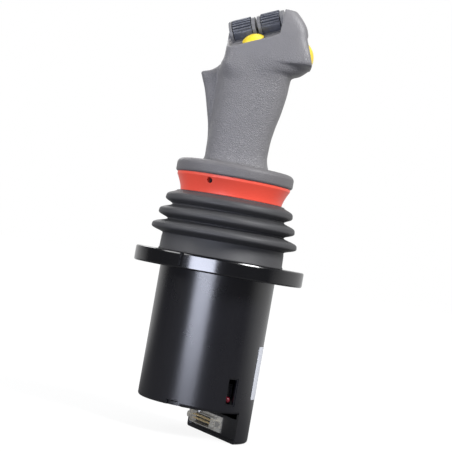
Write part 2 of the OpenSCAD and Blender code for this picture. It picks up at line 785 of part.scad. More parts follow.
module gimbal_ring() {
    color([0.62, 0.63, 0.66])
    difference() {
        union() {
            difference() {
                union() {
                    translate([0, 0, -ring_h / 2]) cylinder(r = ring_r, h = ring_h, $fn = round_fn);
                    along_y(-ring_r - 0.3) cylinder(r = bush_r + 2, h = 2 * ring_r + 0.6, $fn = 64);
                }
                translate([0, 0, -ring_h]) cylinder(r = ring_in_r, h = 2 * ring_h, $fn = round_fn);
            }
            for (m = [0, 1]) mirror([m, 0, 0]) spring_lug(ring_in_r + 1, outer_coil_x + 1.9, coil_r, lug_top);
            for (m = [0, 1]) mirror([0, m, 0]) rotate([0, 0, 90])
                spring_lug(inner_coil_y + coil_len - 1.9, ring_in_r + 2, -coil_r, lug_top);
        }
        along_x(-ring_r - 1) cylinder(r = pin_r + push_gap, h = 2 * ring_r + 2, $fn = 64);
        along_y(-ring_r - 1) cylinder(r = bush_r, h = 2 * ring_r + 2, $fn = 64);
        for (m = [0, 1]) mirror([m, 0, 0])
            translate([outer_coil_x, coil_r, -lug_low - 1]) cylinder(r = wire_r + 0.1, h = 9, $fn = small_fn);
        for (m = [0, 1]) mirror([0, m, 0])
            translate([coil_r, inner_coil_y + coil_len, -lug_low - 1]) cylinder(r = wire_r + 0.1, h = 9, $fn = small_fn);
    }
}

module outer_pins() {
    color([0.82, 0.82, 0.84])
    for (m = [0, 1]) mirror([m, 0, 0]) along_x(ring_in_r + 0.3) cylinder(r = pin_r, h = outer_pin_end - ring_in_r - 0.3, $fn = 64);
}

module frame_magnet() {
    color([0.55, 0.55, 0.58])
    along_x(outer_pin_end) cylinder(r = magnet_r, h = magnet_t, $fn = small_fn);
}

module inner_bushes() {
    color([0.75, 0.6, 0.3])
    for (m = [0, 1]) mirror([0, m, 0]) along_y(ring_in_r) tube(pin_r + run_gap, bush_r - push_gap, ring_r - ring_in_r - 0.7);
}

module sensor_cap() {
    color([0.15, 0.15, 0.16])
    along_y(ring_r + 0.3) difference() {
        cylinder(r = bush_r + 2, h = 3.8, $fn = 64);
        translate([0, 0, -1]) cylinder(r = bush_r + 0.3, h = 3.4, $fn = 64);
    }
}

module ring_sensor() {
    color([0.1, 0.3, 0.2])
    along_y(ring_r + 1.5) cylinder(r = bush_r, h = 1.2, $fn = 64);
}

module inner_springs() {
    color([0.75, 0.76, 0.78])
    for (m = [0, 1]) mirror([0, m, 0])
        translate([0, inner_coil_y, 0]) rotate([90, 0, 180]) torsion_spring();
}

module stick_hub() {
    color([0.6, 0.61, 0.64])
    difference() {
        union() {
            translate([-hub_x, -hub_y, -ring_h / 2]) cube([2 * hub_x, 2 * hub_y, ring_h]);
            for (m = [0, 1]) mirror([0, m, 0]) rotate([0, 0, 90]) spring_lug(hub_y - 2, inner_coil_y + 1.9, coil_r, lug_top);
        }
        translate([0, 0, -ring_h]) cylinder(r = shaft_r + push_gap, h = 2 * ring_h, $fn = round_fn);
        along_y(-hub_y - 1) cylinder(r = pin_r + push_gap, h = 2 * hub_y + 2, $fn = 64);
        for (m = [0, 1]) mirror([0, m, 0])
            translate([-coil_r, inner_coil_y, -lug_low - 1]) cylinder(r = wire_r + 0.1, h = 9, $fn = small_fn);
    }
}

module inner_pins() {
    color([0.82, 0.82, 0.84])
    for (m = [0, 1]) mirror([0, m, 0]) along_y(shaft_r + 0.2) cylinder(r = pin_r, h = inner_pin_end - shaft_r - 0.2, $fn = 64);
}

module hub_magnet() {
    color([0.55, 0.55, 0.58])
    along_y(inner_pin_end) cylinder(r = magnet_r, h = magnet_t, $fn = small_fn);
}

module stick_shaft() {
    color([0.78, 0.78, 0.8])
    translate([0, 0, -shaft_low]) tube(shaft_bore / 2, shaft_r, shaft_low + shaft_top);
}

module tail_bush() {
    color([0.85, 0.84, 0.8])
    translate([0, 0, -gate_low - tail_drop]) tube(shaft_r + push_gap, tail_r, tail_bush_h);
}

module bellows_carrier() {
    color([0.7, 0.7, 0.72])
    translate([0, 0, bellows_top - rubber_t]) mirror([0, 0, 1]) {
        tube(shaft_r + push_gap, carrier_r, 2.5);
        tube(shaft_r + push_gap, shaft_r + 5, 12);
    }
}

module lock_ring() {
    color([0.9, 0.25, 0.16])
    difference() {
        rotate_extrude($fn = round_fn) polygon([
            [lock_in_r, bellows_top], [lock_low_d / 2 - 0.6, bellows_top], [lock_low_d / 2, bellows_top + 0.6],
            for (k = [1 : 9]) let (t = k / 10) [lerp(lock_low_d / 2, lock_top_d / 2, pow(t, 1.5)), bellows_top + lock_h * (0.04 + 0.82 * t)],
            [lock_top_d / 2, lock_top - 2], [lock_top_d / 2, lock_top], [lock_in_r, lock_top]
        ]);
        rotate([0, 0, set_angle]) translate([lock_in_r - 1, 0, set_z]) rotate([0, 90, 0])
            cylinder(d = set_d, h = lock_top_d, $fn = small_fn);
    }
}

module set_screw() {
    color([0.15, 0.15, 0.16])
    rotate([0, 0, set_angle]) translate([set_end - set_len, 0, set_z]) rotate([0, 90, 0])
    difference() {
        cylinder(d = set_d - 2 * push_gap, h = set_len, $fn = small_fn);
        translate([0, 0, set_len - set_d / 2]) cylinder(d = set_d / 2, h = set_d, $fn = 6);
    }
}

module grip_collar() {
    edge = 2.4;
    collar_r = collar_d / 2;
    color([0.46, 0.46, 0.48])
    difference() {
        rotate_extrude($fn = round_fn) polygon([
            [shaft_r + push_gap, bellows_top], [lock_in_r - loose_gap, bellows_top],
            [lock_in_r - loose_gap, lock_top], [collar_r - 0.6, lock_top], [collar_r, lock_top + 0.6],
            for (a = [0 : 15 : 90]) [collar_r - edge + edge * cos(a), grip_z - edge + edge * sin(a)],
            [insert_r + loose_gap, grip_z], [insert_r + loose_gap, grip_z - 4], [shaft_r + push_gap, grip_z - 4]
        ]);
    }
}

module grip_insert() {
    color([0.7, 0.7, 0.72])
    translate([0, 0, grip_z - 4]) tube(shaft_r + push_gap, insert_r, insert_h);
}

// Space over the thumb plate, up to the hood
module over_plate(n, h) {
    intersection() {
        plate_frame() translate([-80, -80, n]) cube([160, 160, h]);
        translate([hood_x, 0, grip_z]) rotate([0, 0, -plate_yaw]) translate([-100, -100, 0])
            cube([100, 200, grip_h + 10]);
    }
}

module along_rollers(u) {
    plate_frame() translate([u, roller_v, roller_n]) rotate([0, 90, 0]) children();
}

// Spaces cut into both grip shells
module grip_spaces() {
    translate([0, 0, grip_z - 1]) cylinder(r = insert_r + push_gap, h = insert_h - 2, $fn = round_fn);
    over_plate(0, 60);
    along_rollers(-house_rear - loose_gap) cylinder(r = trough_r + push_gap, h = house_len + 2 * loose_gap, $fn = 64);
    plate_frame() {
        translate([-house_rear, roller_v - roller_board_w / 2 - loose_gap, roller_board_n - 3])
            cube([house_len, roller_board_w + 2 * loose_gap, 8]);
        translate([thumb_u, thumb_v, -thumb_well]) cylinder(r = thumb_r + well_gap, h = thumb_well + 5, $fn = 64);
    }
    trigger_frame() {
        translate([-pad_w / 2, -30, 0]) cube([pad_w, 60, 20]);
        translate([0, 0, -trigger_well]) cylinder(r = trigger_r + well_gap, h = trigger_well + 5, $fn = 64);
    }
    for (p = shell_screw_places) translate([p[0] * k_w, 0, grip_z + p[1] * k_h]) {
        along_y(-8) cylinder(r = clamp_screw_r + push_gap, h = 40, $fn = small_fn);
        along_y(10) cylinder(r = clamp_head_r + 0.4, h = 30, $fn = small_fn);
    }
}

module grip_shell(s) {
    difference() {
        intersection() {
            grip_form();
            translate([-80, s > 0 ? push_gap : -push_gap - 60, grip_z - 1]) cube([160, 60, grip_h + 2]);
        }
        grip_spaces();
        intersection() {
            grip_form(grip_wall);
            over_plate(-recess_d, recess_d + 1);
        }
    }
}

module grip_shell_near() {
    color([0.47, 0.47, 0.49]) grip_shell(-1);
}

module grip_shell_far() {
    color([0.44, 0.44, 0.46]) grip_shell(1);
}

module shell_screws() {
    color([0.3, 0.3, 0.32])
    for (p = shell_screw_places) translate([p[0] * k_w, 0, grip_z + p[1] * k_h]) along_y(10) screw(clamp_head_r, 1.8, clamp_screw_r, 17);
}

// Cheek between the rollers' ends: round over the plate, and as wide as the trough under it
module cheek(u0, u1) {
    translate([0, 0, u0]) {
        cylinder(r = roller_r - 0.3, h = u1 - u0, $fn = 64);
        intersection() {
            cylinder(r = trough_r, h = u1 - u0, $fn = 64);
            translate([roller_n - trough_rim, -trough_r - 1, -1]) cube([2 * trough_r, 2 * trough_r + 2, u1 - u0 + 2]);
        }
    }
}

module roller_housing() {
    color([0.55, 0.55, 0.57])
    along_rollers(0) difference() {
        union() {
            intersection() {
                translate([0, 0, -house_rear]) difference() {
                    cylinder(r = trough_r, h = house_len, $fn = 64);
                    translate([0, 0, -1]) cylinder(r = trough_in_r, h = house_len + 2, $fn = 64);
                }
                translate([roller_n - trough_rim, -trough_r - 1, -house_rear - 1]) cube([2 * trough_r, 2 * trough_r + 2, house_len + 2]);
            }
            cheek(-cheek_mid / 2, cheek_mid / 2);
            cheek(house_front - cheek_end, house_front);
            cheek(-house_rear, -house_rear + cheek_rear);
        }
        translate([0, 0, -house_rear - 1]) cylinder(r = axle_r + push_gap, h = house_len + 2, $fn = small_fn);
    }
}

module roller_axle() {
    color([0.8, 0.8, 0.82])
    along_rollers(-house_rear + 0.2) cylinder(r = axle_r, h = house_len - 0.4, $fn = small_fn);
}

module roller_board() {
    color([0.1, 0.35, 0.2])
    plate_frame() translate([-house_rear + 1, roller_v - roller_board_w / 2, roller_board_n - board_t])
        cube([house_len - 2, roller_board_w, board_t]);
}

module roller(s) {
    along_rollers(s * roller_u - roller_len / 2) difference() {
        cylinder(r = roller_r, h = roller_len, $fn = round_fn);
        translate([0, 0, -1]) cylinder(r = axle_r + run_gap, h = roller_len + 2, $fn = small_fn);
        for (i = [-rib_half : rib_half]) rotate([0, 0, 180 + i * rib_pitch])
            translate([roller_r - rib_h, -rib_w / 2, -1]) cube([rib_h + 1, rib_w, roller_len + 2]);
    }
}

module roller_rear() {
    color([0.26, 0.28, 0.33]) roller(-1);
}

module roller_front() {
    color([0.26, 0.28, 0.33]) roller(1);
}

// Dome with a short rim, its rim's underside at z = 0
module dome(r, rim, h) {
    ball = (r * r + h * h) / (2 * h);
    cylinder(r = r, h = rim, $fn = round_fn);
    intersection() {
        translate([0, 0, rim + h - ball]) sphere(r = ball, $fn = round_fn);
        translate([0, 0, rim - 0.01]) cylinder(r = r, h = h + 1, $fn = round_fn);
    }
}

// Sprung button: its dome's rim starts at z = n, and its stem ends over the switch at -well
module button(r, n, rim, cap, well) {
    translate([0, 0, n]) dome(r, rim, cap);
    stem_low = -well + loose_gap + switch_t + press_travel + loose_gap;
    translate([0, 0, stem_low]) cylinder(r = stem_r, h = n + rim / 2 - stem_low, $fn = small_fn);
}

// Guide sleeve with a base flange, in a well of the stated depth
module guide(r, well, h) {
    translate([0, 0, -well + guide_up]) difference() {
        union() {
            cylinder(r = r + well_gap - push_gap, h = guide_t, $fn = 64);
            cylinder(r = guide_r, h = h, $fn = 64);
        }
        translate([0, 0, -1]) cylinder(r = stem_r + run_gap, h = h + 2, $fn = small_fn);
    }
}

module switch(well) {
    translate([0, 0, -well + loose_gap]) cylinder(r = switch_r, h = switch_t, $fn = small_fn);
}

module return_spring(n, well) {
    low = -well + guide_up + guide_t + push_gap;
    translate([0, 0, low]) push_spring(spring_r, n - push_gap - low, 3, spring_wire);
}

module thumb_frame() {
    plate_frame() translate([thumb_u, thumb_v, 0]) children();
}

module thumb_button() {
    color([0.93, 0.8, 0.12]) thumb_frame() button(thumb_r, thumb_n, thumb_rim, thumb_cap, thumb_well);
}

module thumb_guide() {
    color([0.5, 0.5, 0.52]) thumb_frame() guide(thumb_r, thumb_well, 4);
}

module thumb_switch() {
    color([0.1, 0.1, 0.12]) thumb_frame() switch(thumb_well);
}

module thumb_spring() {
    color([0.8, 0.8, 0.82]) thumb_frame() return_spring(thumb_n, thumb_well);
}

module trigger_button() {
    color([0.93, 0.8, 0.12])
    trigger_frame() button(trigger_r, trigger_n, trigger_rim, dome_h - trigger_rim - trigger_n, trigger_well);
}

module trigger_guide() {
    color([0.5, 0.5, 0.52]) trigger_frame() guide(trigger_r, trigger_well, 5);
}

module trigger_switch() {
    color([0.1, 0.1, 0.12]) trigger_frame() switch(trigger_well);
}

module trigger_spring() {
    color([0.8, 0.8, 0.82]) trigger_frame() return_spring(trigger_n, trigger_well);
}

mounting_flange();
canister_shell();
bottom_cover();
cover_screws();
connector_bracket();
dsub_flange();
dsub_insulator();
dsub_contacts();
jack_screws();
status_board();
status_led();
gimbal_frame();
outer_bushes();
frame_sensor();
travel_gate();
gate_posts();
board_standoffs();
main_board();
board_parts();
stack_screws();
bellows();
clamp_ring();
clamp_screws();
outer_springs();
gimbal_ring();
outer_pins();
frame_magnet();
inner_bushes();
sensor_cap();
ring_sensor();
inner_springs();
stick_hub();
inner_pins();
hub_magnet();
stick_shaft();
tail_bush();
bellows_carrier();
lock_ring();
set_screw();
grip_collar();
grip_insert();
grip_shell_near();
grip_shell_far();
shell_screws();
roller_housing();
roller_axle();
roller_board();
roller_rear();
roller_front();
thumb_guide();
thumb_switch();
thumb_spring();
thumb_button();
trigger_guide();
trigger_switch();
trigger_spring();
trigger_button();
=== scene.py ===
"""Dresses the industrial joystick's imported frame: grip, bellows, finishes, light and camera."""
import logging
import math
from dataclasses import dataclass, field
from enum import Enum
from typing import Callable, Sequence

import bmesh
import bpy
import numpy as np
from mathutils import Matrix, Vector


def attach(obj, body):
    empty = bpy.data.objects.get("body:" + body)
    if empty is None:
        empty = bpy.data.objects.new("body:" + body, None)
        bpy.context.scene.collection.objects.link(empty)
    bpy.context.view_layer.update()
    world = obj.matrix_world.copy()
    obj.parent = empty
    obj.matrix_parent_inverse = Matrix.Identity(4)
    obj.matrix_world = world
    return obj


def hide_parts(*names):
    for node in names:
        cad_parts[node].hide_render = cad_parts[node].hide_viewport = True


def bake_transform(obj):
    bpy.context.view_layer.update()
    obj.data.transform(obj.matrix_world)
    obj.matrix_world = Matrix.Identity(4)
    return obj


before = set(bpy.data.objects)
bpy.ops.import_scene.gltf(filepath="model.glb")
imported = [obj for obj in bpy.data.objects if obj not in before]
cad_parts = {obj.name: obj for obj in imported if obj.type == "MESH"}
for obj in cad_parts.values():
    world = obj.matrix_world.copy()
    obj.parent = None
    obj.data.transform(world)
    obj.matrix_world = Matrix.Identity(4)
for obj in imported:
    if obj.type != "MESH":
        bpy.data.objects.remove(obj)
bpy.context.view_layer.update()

MM = 0.001
FAR = 80.0  # millimetres, past every part of the grip
WHITE = (1.0, 1.0, 1.0)
log = logging.getLogger("joystick")

Points = list[tuple[float, float]]
Colour = tuple[float, float, float]
Tree, Node, Socket = bpy.types.NodeTree, bpy.types.Node, bpy.types.NodeSocket
Piece = bpy.types.Object


class Texture(Enum):
    """The kinds of fine surface that the finishes use."""

    LEATHER = "leather"
    MOULDED = "moulded"
    RUBBER = "rubber"
    GLOSS = "gloss"
    BRUSHED = "brushed"
    CAST = "cast"


# Node groups

def fill(tree: Tree, node: Node, feeds: dict) -> None:
    """Feeds a node's inputs.

    Args:
        tree: The node tree.
        node: The node.
        feeds: A socket or a value for each input, by its name or its place.
    """
    for place, value in feeds.items():
        if isinstance(value, Socket):
            tree.links.new(value, node.inputs[place])
        elif value is not None:
            node.inputs[place].default_value = value


def add_node(tree: Tree, kind: str, feeds: dict, **values: object) -> Node:
    """Adds a shader node.

    Args:
        tree: The node tree.
        kind: The node's type without its "ShaderNode" prefix.
        feeds: What its inputs are fed, as fill takes it.
        values: Its properties by name.

    Returns:
        The node.
    """
    made = tree.nodes.new("ShaderNode" + kind)
    for name, value in values.items():
        setattr(made, name, value)
    fill(tree, made, feeds)
    return made


def maths(tree: Tree, operation: str, first: object, second: object = None, clamp: bool = False) -> Socket:
    """Adds a Math node.

    Args:
        tree: The node tree.
        operation: The node's operation.
        first: A socket or a number.
        second: A socket or a number, if the operation takes two.
        clamp: True to keep the result between 0 and 1.

    Returns:
        The result's socket.
    """
    return add_node(tree, "Math", {0: first, 1: second}, operation=operation, use_clamp=clamp).outputs[0]


def fade(tree: Tree, value: Socket, ends: tuple) -> Socket:
    """Adds a smooth change from one level to another.

    Args:
        tree: The node tree.
        value: What it follows.
        ends: The two values where it starts and ends, and its two levels there.

    Returns:
        The level's socket.
    """
    feeds = dict(zip(("From Min", "From Max", "To Min", "To Max"), ends), Value=value)
    return add_node(tree, "MapRange", feeds, interpolation_type="SMOOTHSTEP").outputs["Result"]


def add_object(name: str, data: bpy.types.ID) -> Piece:
    """Makes an object in the scene."""
    made = bpy.data.objects.new(name, data)
    bpy.context.scene.collection.objects.link(made)
    return made


def turned(degrees: float, axis: str) -> Matrix:
    """Gives a turn about an axis."""
    return Matrix.Rotation(math.radians(degrees), 4, axis)


def facing(at: tuple, aim: tuple) -> Matrix:
    """Gives the frame of a camera or lamp that faces a place."""
    return Matrix.Translation(at) @ (Vector(aim) - Vector(at)).to_track_quat("-Z", "Y").to_matrix().to_4x4()


class GroupMaker:
    """Builds one shader node group with named inputs and outputs."""

    def __init__(self, name: str) -> None:
        """Starts an empty group.

        Args:
            name: The group's name.
        """
        self.tree = bpy.data.node_groups.new(name, "ShaderNodeTree")
        self.inlet = self.tree.nodes.new("NodeGroupInput")
        self.outlet = self.tree.nodes.new("NodeGroupOutput")

    def socket(self, name: str, default: object = None, out: bool = False, kind: str = "Float") -> None:
        """Adds an input or output socket.

        Args:
            name: The socket's name.
            default: Its default value, if it has one.
            out: True for an output.
            kind: "Float" or "Color".
        """
        direction = "OUTPUT" if out else "INPUT"
        made = self.tree.interface.new_socket(name=name, in_out=direction, socket_type="NodeSocket" + kind)
        if default is not None:
            made.default_value = default

    def take(self, name: str) -> Socket:
        """Gives the socket of one of the group's inputs."""
        return self.inlet.outputs[name]

    def give(self, feeds: dict) -> Tree:
        """Feeds the group's outputs, and gives the finished group."""
        fill(self.tree, self.outlet, feeds)
        return self.tree

    def node(self, kind: str, feeds: dict, **values: object) -> Node:
        """Adds a node; add_node tells what it takes."""
        return add_node(self.tree, kind, feeds, **values)

    def maths(self, *values: object, clamp: bool = False) -> Socket:
        """Adds a Math node; maths tells what it takes."""
        return maths(self.tree, *values, clamp=clamp)

    def noise(self, vector: Socket, scale: object, detail: float, rough: float = 0.5) -> Socket:
        """Adds a noise texture.

        Args:
            vector: Where the noise is read.
            scale: A socket or a number of cells a metre.
            detail: Octaves of the noise.
            rough: How strong the fine octaves are.

        Returns:
            The noise's value.
        """
        feeds = {"Vector": vector, "Scale": scale, "Detail": detail, "Roughness": rough}
        return self.node("TexNoise", feeds).outputs["Fac"]

    def place(self) -> Socket:
        """Gives the object's own coordinates, in metres."""
        return self.node("TexCoord", {}).outputs["Object"]


def leather_group() -> Tree:
    """Makes the moulded leather grain: raised pebbles between fine creases.

    Returns:
        The node group.
    """
    g = GroupMaker("leather_grain")
    g.socket("Size", 900.0)
    g.socket("Unevenness", 0.5)
    g.socket("Calm level", 0.162)
    g.socket("Height", out=True)
    drift_step, pebble_slope, pebble_top, patch_scale = 0.0009, 2.6, 0.62, 160.0
    calm_slope, calm_share = 45.0, 0.7
    size, place = g.take("Size"), g.place()
    drift = g.node("TexNoise", {"Vector": place, "Scale": size})
    slip = g.node("VectorMath", {0: drift.outputs["Color"], "Scale": drift_step}, operation="SCALE")
    bend = g.node("VectorMath", {0: place, 1: slip.outputs[0]}, operation="ADD")
    cells = g.node("TexVoronoi", {"Vector": bend.outputs[0], "Scale": size}, feature="DISTANCE_TO_EDGE")
    pebble = g.maths("SMOOTH_MIN", g.maths("MULTIPLY", cells.outputs["Distance"], pebble_slope), pebble_top)
    uneven = g.maths("MULTIPLY", g.noise(place, patch_scale, 3.0), g.take("Unevenness"))
    height = g.node("SeparateXYZ", {0: place}).outputs["Z"]
    over = g.maths("SUBTRACT", height, g.take("Calm level"))
    calmness = g.maths("MULTIPLY", g.maths("MULTIPLY", over, calm_slope, clamp=True), calm_share)
    calm = g.maths("SUBTRACT", 1.0, calmness)
    return g.give({"Height": g.maths("MULTIPLY", g.maths("ADD", pebble, uneven), calm)})


def grain_group() -> Tree:
    """Makes a fine moulded or painted surface, from orange peel to sand.

    Returns:
        The node group.
    """
    g = GroupMaker("fine_grain")
    g.socket("Size", 1500.0)
    g.socket("Wave", 0.3)
    g.socket("Height", out=True)
    broad_scale = 60.0
    place = g.place()
    fine = g.noise(place, g.take("Size"), 2.0, 0.55)
    wave = g.maths("MULTIPLY", g.noise(place, broad_scale, 1.0), g.take("Wave"))
    return g.give({"Height": g.maths("ADD", fine, wave)})


def brushed_group() -> Tree:
    """Makes the fine lines of turned or brushed metal.

    Returns:
        The node group.
    """
    g = GroupMaker("brushed_lines")
    g.socket("Size", 1200.0)
    g.socket("Height", out=True)
    along = (0.12, 0.12, 1.0)
    stretch = g.node("VectorMath", {0: g.place(), 1: along}, operation="MULTIPLY")
    return g.give({"Height": g.noise(stretch.outputs[0], g.take("Size"), 4.0, 0.6)})


def tone_group() -> Tree:
    """Makes a colour uneven: soft patches, and sharp edges made lighter, partly as rubbing and partly as a
    painted highlight.

    Returns:
        The node group.
    """
    g = GroupMaker("uneven_tone")
    g.socket("Colour", (0.5, 0.5, 0.5, 1.0), kind="Color")
    g.socket("Rub and highlight colour", (0.7, 0.7, 0.7, 1.0), kind="Color")
    g.socket("Patches", 0.1)
    g.socket("Rub and highlight amount", 0.2)
    g.socket("Colour", out=True, kind="Color")
    g.socket("Roughness shift", out=True)
    patch_scale, edge_from, edge_slope, broken_scale, rough_swing = 45.0, 0.52, 9.0, 420.0, 0.25
    place = g.place()
    patch = g.maths("SUBTRACT", g.noise(place, patch_scale, 4.0, 0.6), 0.5)
    shade = g.maths("ADD", 1.0, g.maths("MULTIPLY", patch, g.take("Patches")))
    scaled = g.node("VectorMath", {0: g.take("Colour"), "Scale": shade}, operation="SCALE")
    # Sharp edges take the lighter colour: partly rubbed edges, partly a painted highlight.
    over = g.maths("SUBTRACT", g.node("NewGeometry", {}).outputs["Pointiness"], edge_from)
    edge = g.maths("MULTIPLY", over, edge_slope, clamp=True)
    broken = g.maths("MULTIPLY", edge, g.noise(place, broken_scale, 3.0))
    worn = g.maths("MULTIPLY", broken, g.take("Rub and highlight amount"), clamp=True)
    # The Mix node's inputs 6 and 7 and its output 2 are colours.
    mix = g.node("Mix", {0: worn, 6: scaled.outputs[0], 7: g.take("Rub and highlight colour")}, data_type="RGBA")
    return g.give({"Colour": mix.outputs[2], "Roughness shift": g.maths("MULTIPLY", patch, rough_swing)})


# Finishes

@dataclass(frozen=True)
class Finish:
    """One finish: its name and how it looks. Its size is in cells a metre and its depth in metres."""

    slot: str
    colour: Colour
    texture: Texture
    roughness: float
    # The lighter colour of sharp edges and how much of it: partly rubbing, partly a painted highlight.
    worn: Colour = (0.5, 0.5, 0.5)
    wear: float = 0.1
    patches: float = 0.12
    metallic: float = 0.0
    specular: float = 0.5
    size: float = 1500.0
    depth: float = 0.00005
    strength: float = 0.5


FINISHES: dict[str, Finish] = {
    f.slot: f
    for f in (
        Finish("grip_grey", (0.18, 0.176, 0.183), Texture.LEATHER, 0.44, (0.3, 0.3, 0.31), 0.25, 0.16,
               size=620.0, depth=0.0004, strength=0.95),
        Finish("collar_grey", (0.135, 0.13, 0.135), Texture.LEATHER, 0.5, (0.3, 0.3, 0.31), 0.2, 0.16,
               size=800.0, depth=0.0002, strength=0.6),
        # Grip grey darkened: painted shade on the cheeks between the rollers.
        Finish("cheek_grey_painted_shade", (0.13, 0.13, 0.138), Texture.MOULDED, 0.45, (0.3, 0.3, 0.31), 0.3, 0.16),
        # A near-black finish that some CAD nodes take in place of their own.
        Finish("near_black_override", (0.012, 0.012, 0.014), Texture.MOULDED, 0.35, (0.12, 0.12, 0.13), 0.3, 0.2),
        # The rollers' strong lighter edges are a painted highlight on the ribs' ridges.
        Finish("roller_blue", (0.027, 0.03, 0.042), Texture.MOULDED, 0.4, (0.34, 0.36, 0.42), 1.3),
        Finish("button_yellow", (0.82, 0.61, 0.03), Texture.GLOSS, 0.34, (0.88, 0.64, 0.08), 0.2, 0.06,
               size=700.0),
        Finish("ring_red", (0.85, 0.085, 0.05), Texture.GLOSS, 0.42, (0.9, 0.2, 0.14), 0.3, 0.08,
               size=500.0),
        Finish("bellows_rubber", (0.05, 0.05, 0.053), Texture.RUBBER, 0.56, (0.12, 0.12, 0.122), 0.3, 0.3),
        Finish("flange_black", (0.004, 0.004, 0.0052), Texture.GLOSS, 0.17, wear=0.0, patches=0.1,
               specular=0.85, size=400.0, strength=0.06),
        Finish("canister_black", (0.0028, 0.0028, 0.0058), Texture.GLOSS, 0.28, wear=0.0, patches=0.04,
               specular=0.85, strength=0.0),
        Finish("screw_steel", (0.6, 0.6, 0.6), Texture.BRUSHED, 0.32, (0.8, 0.8, 0.8), 0.3, 0.1, 1.0),
        Finish("zinc_plate", (0.86, 0.82, 0.7), Texture.BRUSHED, 0.3, (0.95, 0.93, 0.86), 0.6, 0.8, 0.35),
        Finish("black_plastic", (0.02, 0.02, 0.022), Texture.MOULDED, 0.5, (0.12, 0.12, 0.12), 0.3),
        Finish("gold", (0.95, 0.74, 0.38), Texture.BRUSHED, 0.3, (0.95, 0.85, 0.6), 0.3, 0.1, 0.2),
        Finish("board_green", (0.006, 0.06, 0.025), Texture.GLOSS, 0.35, (0.1, 0.3, 0.15), 0.2),
        Finish("lamp_red", (0.13, 0.008, 0.018), Texture.GLOSS, 0.2, (0.5, 0.1, 0.1), 0.2, 0.05),
        Finish("cast_alloy", (0.42, 0.43, 0.45), Texture.CAST, 0.45, (0.7, 0.7, 0.72), 0.4, 0.2, 1.0,
               size=900.0),
        Finish("bronze", (0.5, 0.3, 0.11), Texture.BRUSHED, 0.3, (0.8, 0.6, 0.35), 0.3, 0.2, 1.0),
        Finish("pin_steel", (0.66, 0.66, 0.68), Texture.BRUSHED, 0.16, (0.85, 0.85, 0.85), 0.2, 0.05, 1.0),
        Finish("spring_steel", (0.46, 0.46, 0.48), Texture.BRUSHED, 0.28, (0.7, 0.7, 0.7), 0.2, 0.1, 1.0),
        Finish("nylon", (0.62, 0.6, 0.54), Texture.MOULDED, 0.5, (0.75, 0.74, 0.7), 0.2),
        Finish("label_white", (0.7, 0.72, 0.79), Texture.MOULDED, 0.42, wear=0.0, patches=0.05, size=900.0),
    )
}


class Dresser:
    """Makes each finish's material once, from shared node groups."""

    gloss_swing = 0.2

    def __init__(self) -> None:
        """Builds the shared node groups."""
        self.leather = leather_group()
        self.grain = grain_group()
        self.brushed = brushed_group()
        self.tone = tone_group()
        self.made: dict[str, bpy.types.Material] = {}

    def material(self, name: str) -> bpy.types.Material:
        """Gives the material of a finish.

        Args:
            name: The finish's name.

        Returns:
            The material.
        """
        if name not in self.made:
            self.made[name] = self.build(FINISHES[name])
        return self.made[name]

    def build(self, finish: Finish) -> bpy.types.Material:
        """Builds a finish's material around one Principled shader.

        Args:
            finish: How it looks.

        Returns:
            The material.
        """
        made = bpy.data.materials.new("finish_" + finish.slot)
        made.use_nodes = True
        tree = made.node_tree
        # The tone group lightens sharp edges, partly as rubbing and partly as a painted highlight.
        tone = add_node(tree, "Group", {
            "Colour": (*finish.colour, 1.0), "Rub and highlight colour": (*finish.worn, 1.0),
            "Patches": finish.patches, "Rub and highlight amount": finish.wear}, node_tree=self.tone)
        swing = self.gloss_swing if finish.texture is Texture.GLOSS else 1.0
        shift = maths(tree, "MULTIPLY", tone.outputs["Roughness shift"], swing)
        bump = add_node(tree, "Bump", {"Distance": finish.depth, "Strength": finish.strength,
                                       "Height": self.relief(tree, finish)})
        fill(tree, tree.nodes["Principled BSDF"], {
            "Base Color": tone.outputs["Colour"], "Metallic": finish.metallic,
            "Roughness": maths(tree, "ADD", shift, finish.roughness, clamp=True),
            "Specular IOR Level": finish.specular, "Normal": bump.outputs[0]})
        return made

    def relief(self, tree: Tree, finish: Finish) -> Socket:
        """Places the texture group of a finish.

        Args:
            tree: The material's node tree.
            finish: How it looks.

        Returns:
            The socket of its height.
        """
        kinds = {Texture.LEATHER: self.leather, Texture.BRUSHED: self.brushed}
        kind = kinds.get(finish.texture, self.grain)
        return add_node(tree, "Group", {"Size": finish.size}, node_tree=kind).outputs["Height"]

    def dress(self, piece: Piece, name: str) -> None:
        """Gives a new piece a finish."""
        piece.data.materials.clear()
        piece.data.materials.append(self.material(name))


# Mesh building

def smooth_line(points: Points) -> Callable[[np.ndarray], np.ndarray]:
    """Makes a smooth curve through points that never swings past them.

    Args:
        points: Places and values, with rising places.

    Returns:
        A function from places to values.
    """
    x, y = np.array(points, float).T
    h = np.diff(x)
    slope = np.diff(y) / h
    grade = np.zeros_like(y)
    for i in range(1, len(x) - 1):
        if slope[i - 1] * slope[i] > 0:
            w1, w2 = 2 * h[i] + h[i - 1], h[i] + 2 * h[i - 1]
            grade[i] = (w1 + w2) / (w1 / slope[i - 1] + w2 / slope[i])
    grade[0], grade[-1] = slope[0], slope[-1]

    def value(at: np.ndarray) -> np.ndarray:
        i = np.clip(np.searchsorted(x, at, side="right") - 1, 0, len(h) - 1)
        t = np.clip((at - x[i]) / h[i], 0, 1)
        t2, t3 = t * t, t * t * t
        return ((2 * t3 - 3 * t2 + 1) * y[i] + (t3 - 2 * t2 + t) * h[i] * grade[i]
                + (3 * t2 - 2 * t3) * y[i + 1] + (t3 - t2) * h[i] * grade[i + 1])

    return value


def link_mesh(name: str, points: Sequence, faces: list[tuple[int, ...]], scale: float = MM) -> Piece:
    """Makes a mesh object in the scene.

    Args:
        name: The object's name.
        points: Its points.
        faces: Its faces as lists of point numbers.
        scale: Metres to one unit of the points.

    Returns:
        The object.
    """
    mesh = bpy.data.meshes.new(name)
    mesh.from_pydata((np.asarray(points) * scale).tolist(), [], faces)
    mesh.update()
    return add_object(name, mesh)


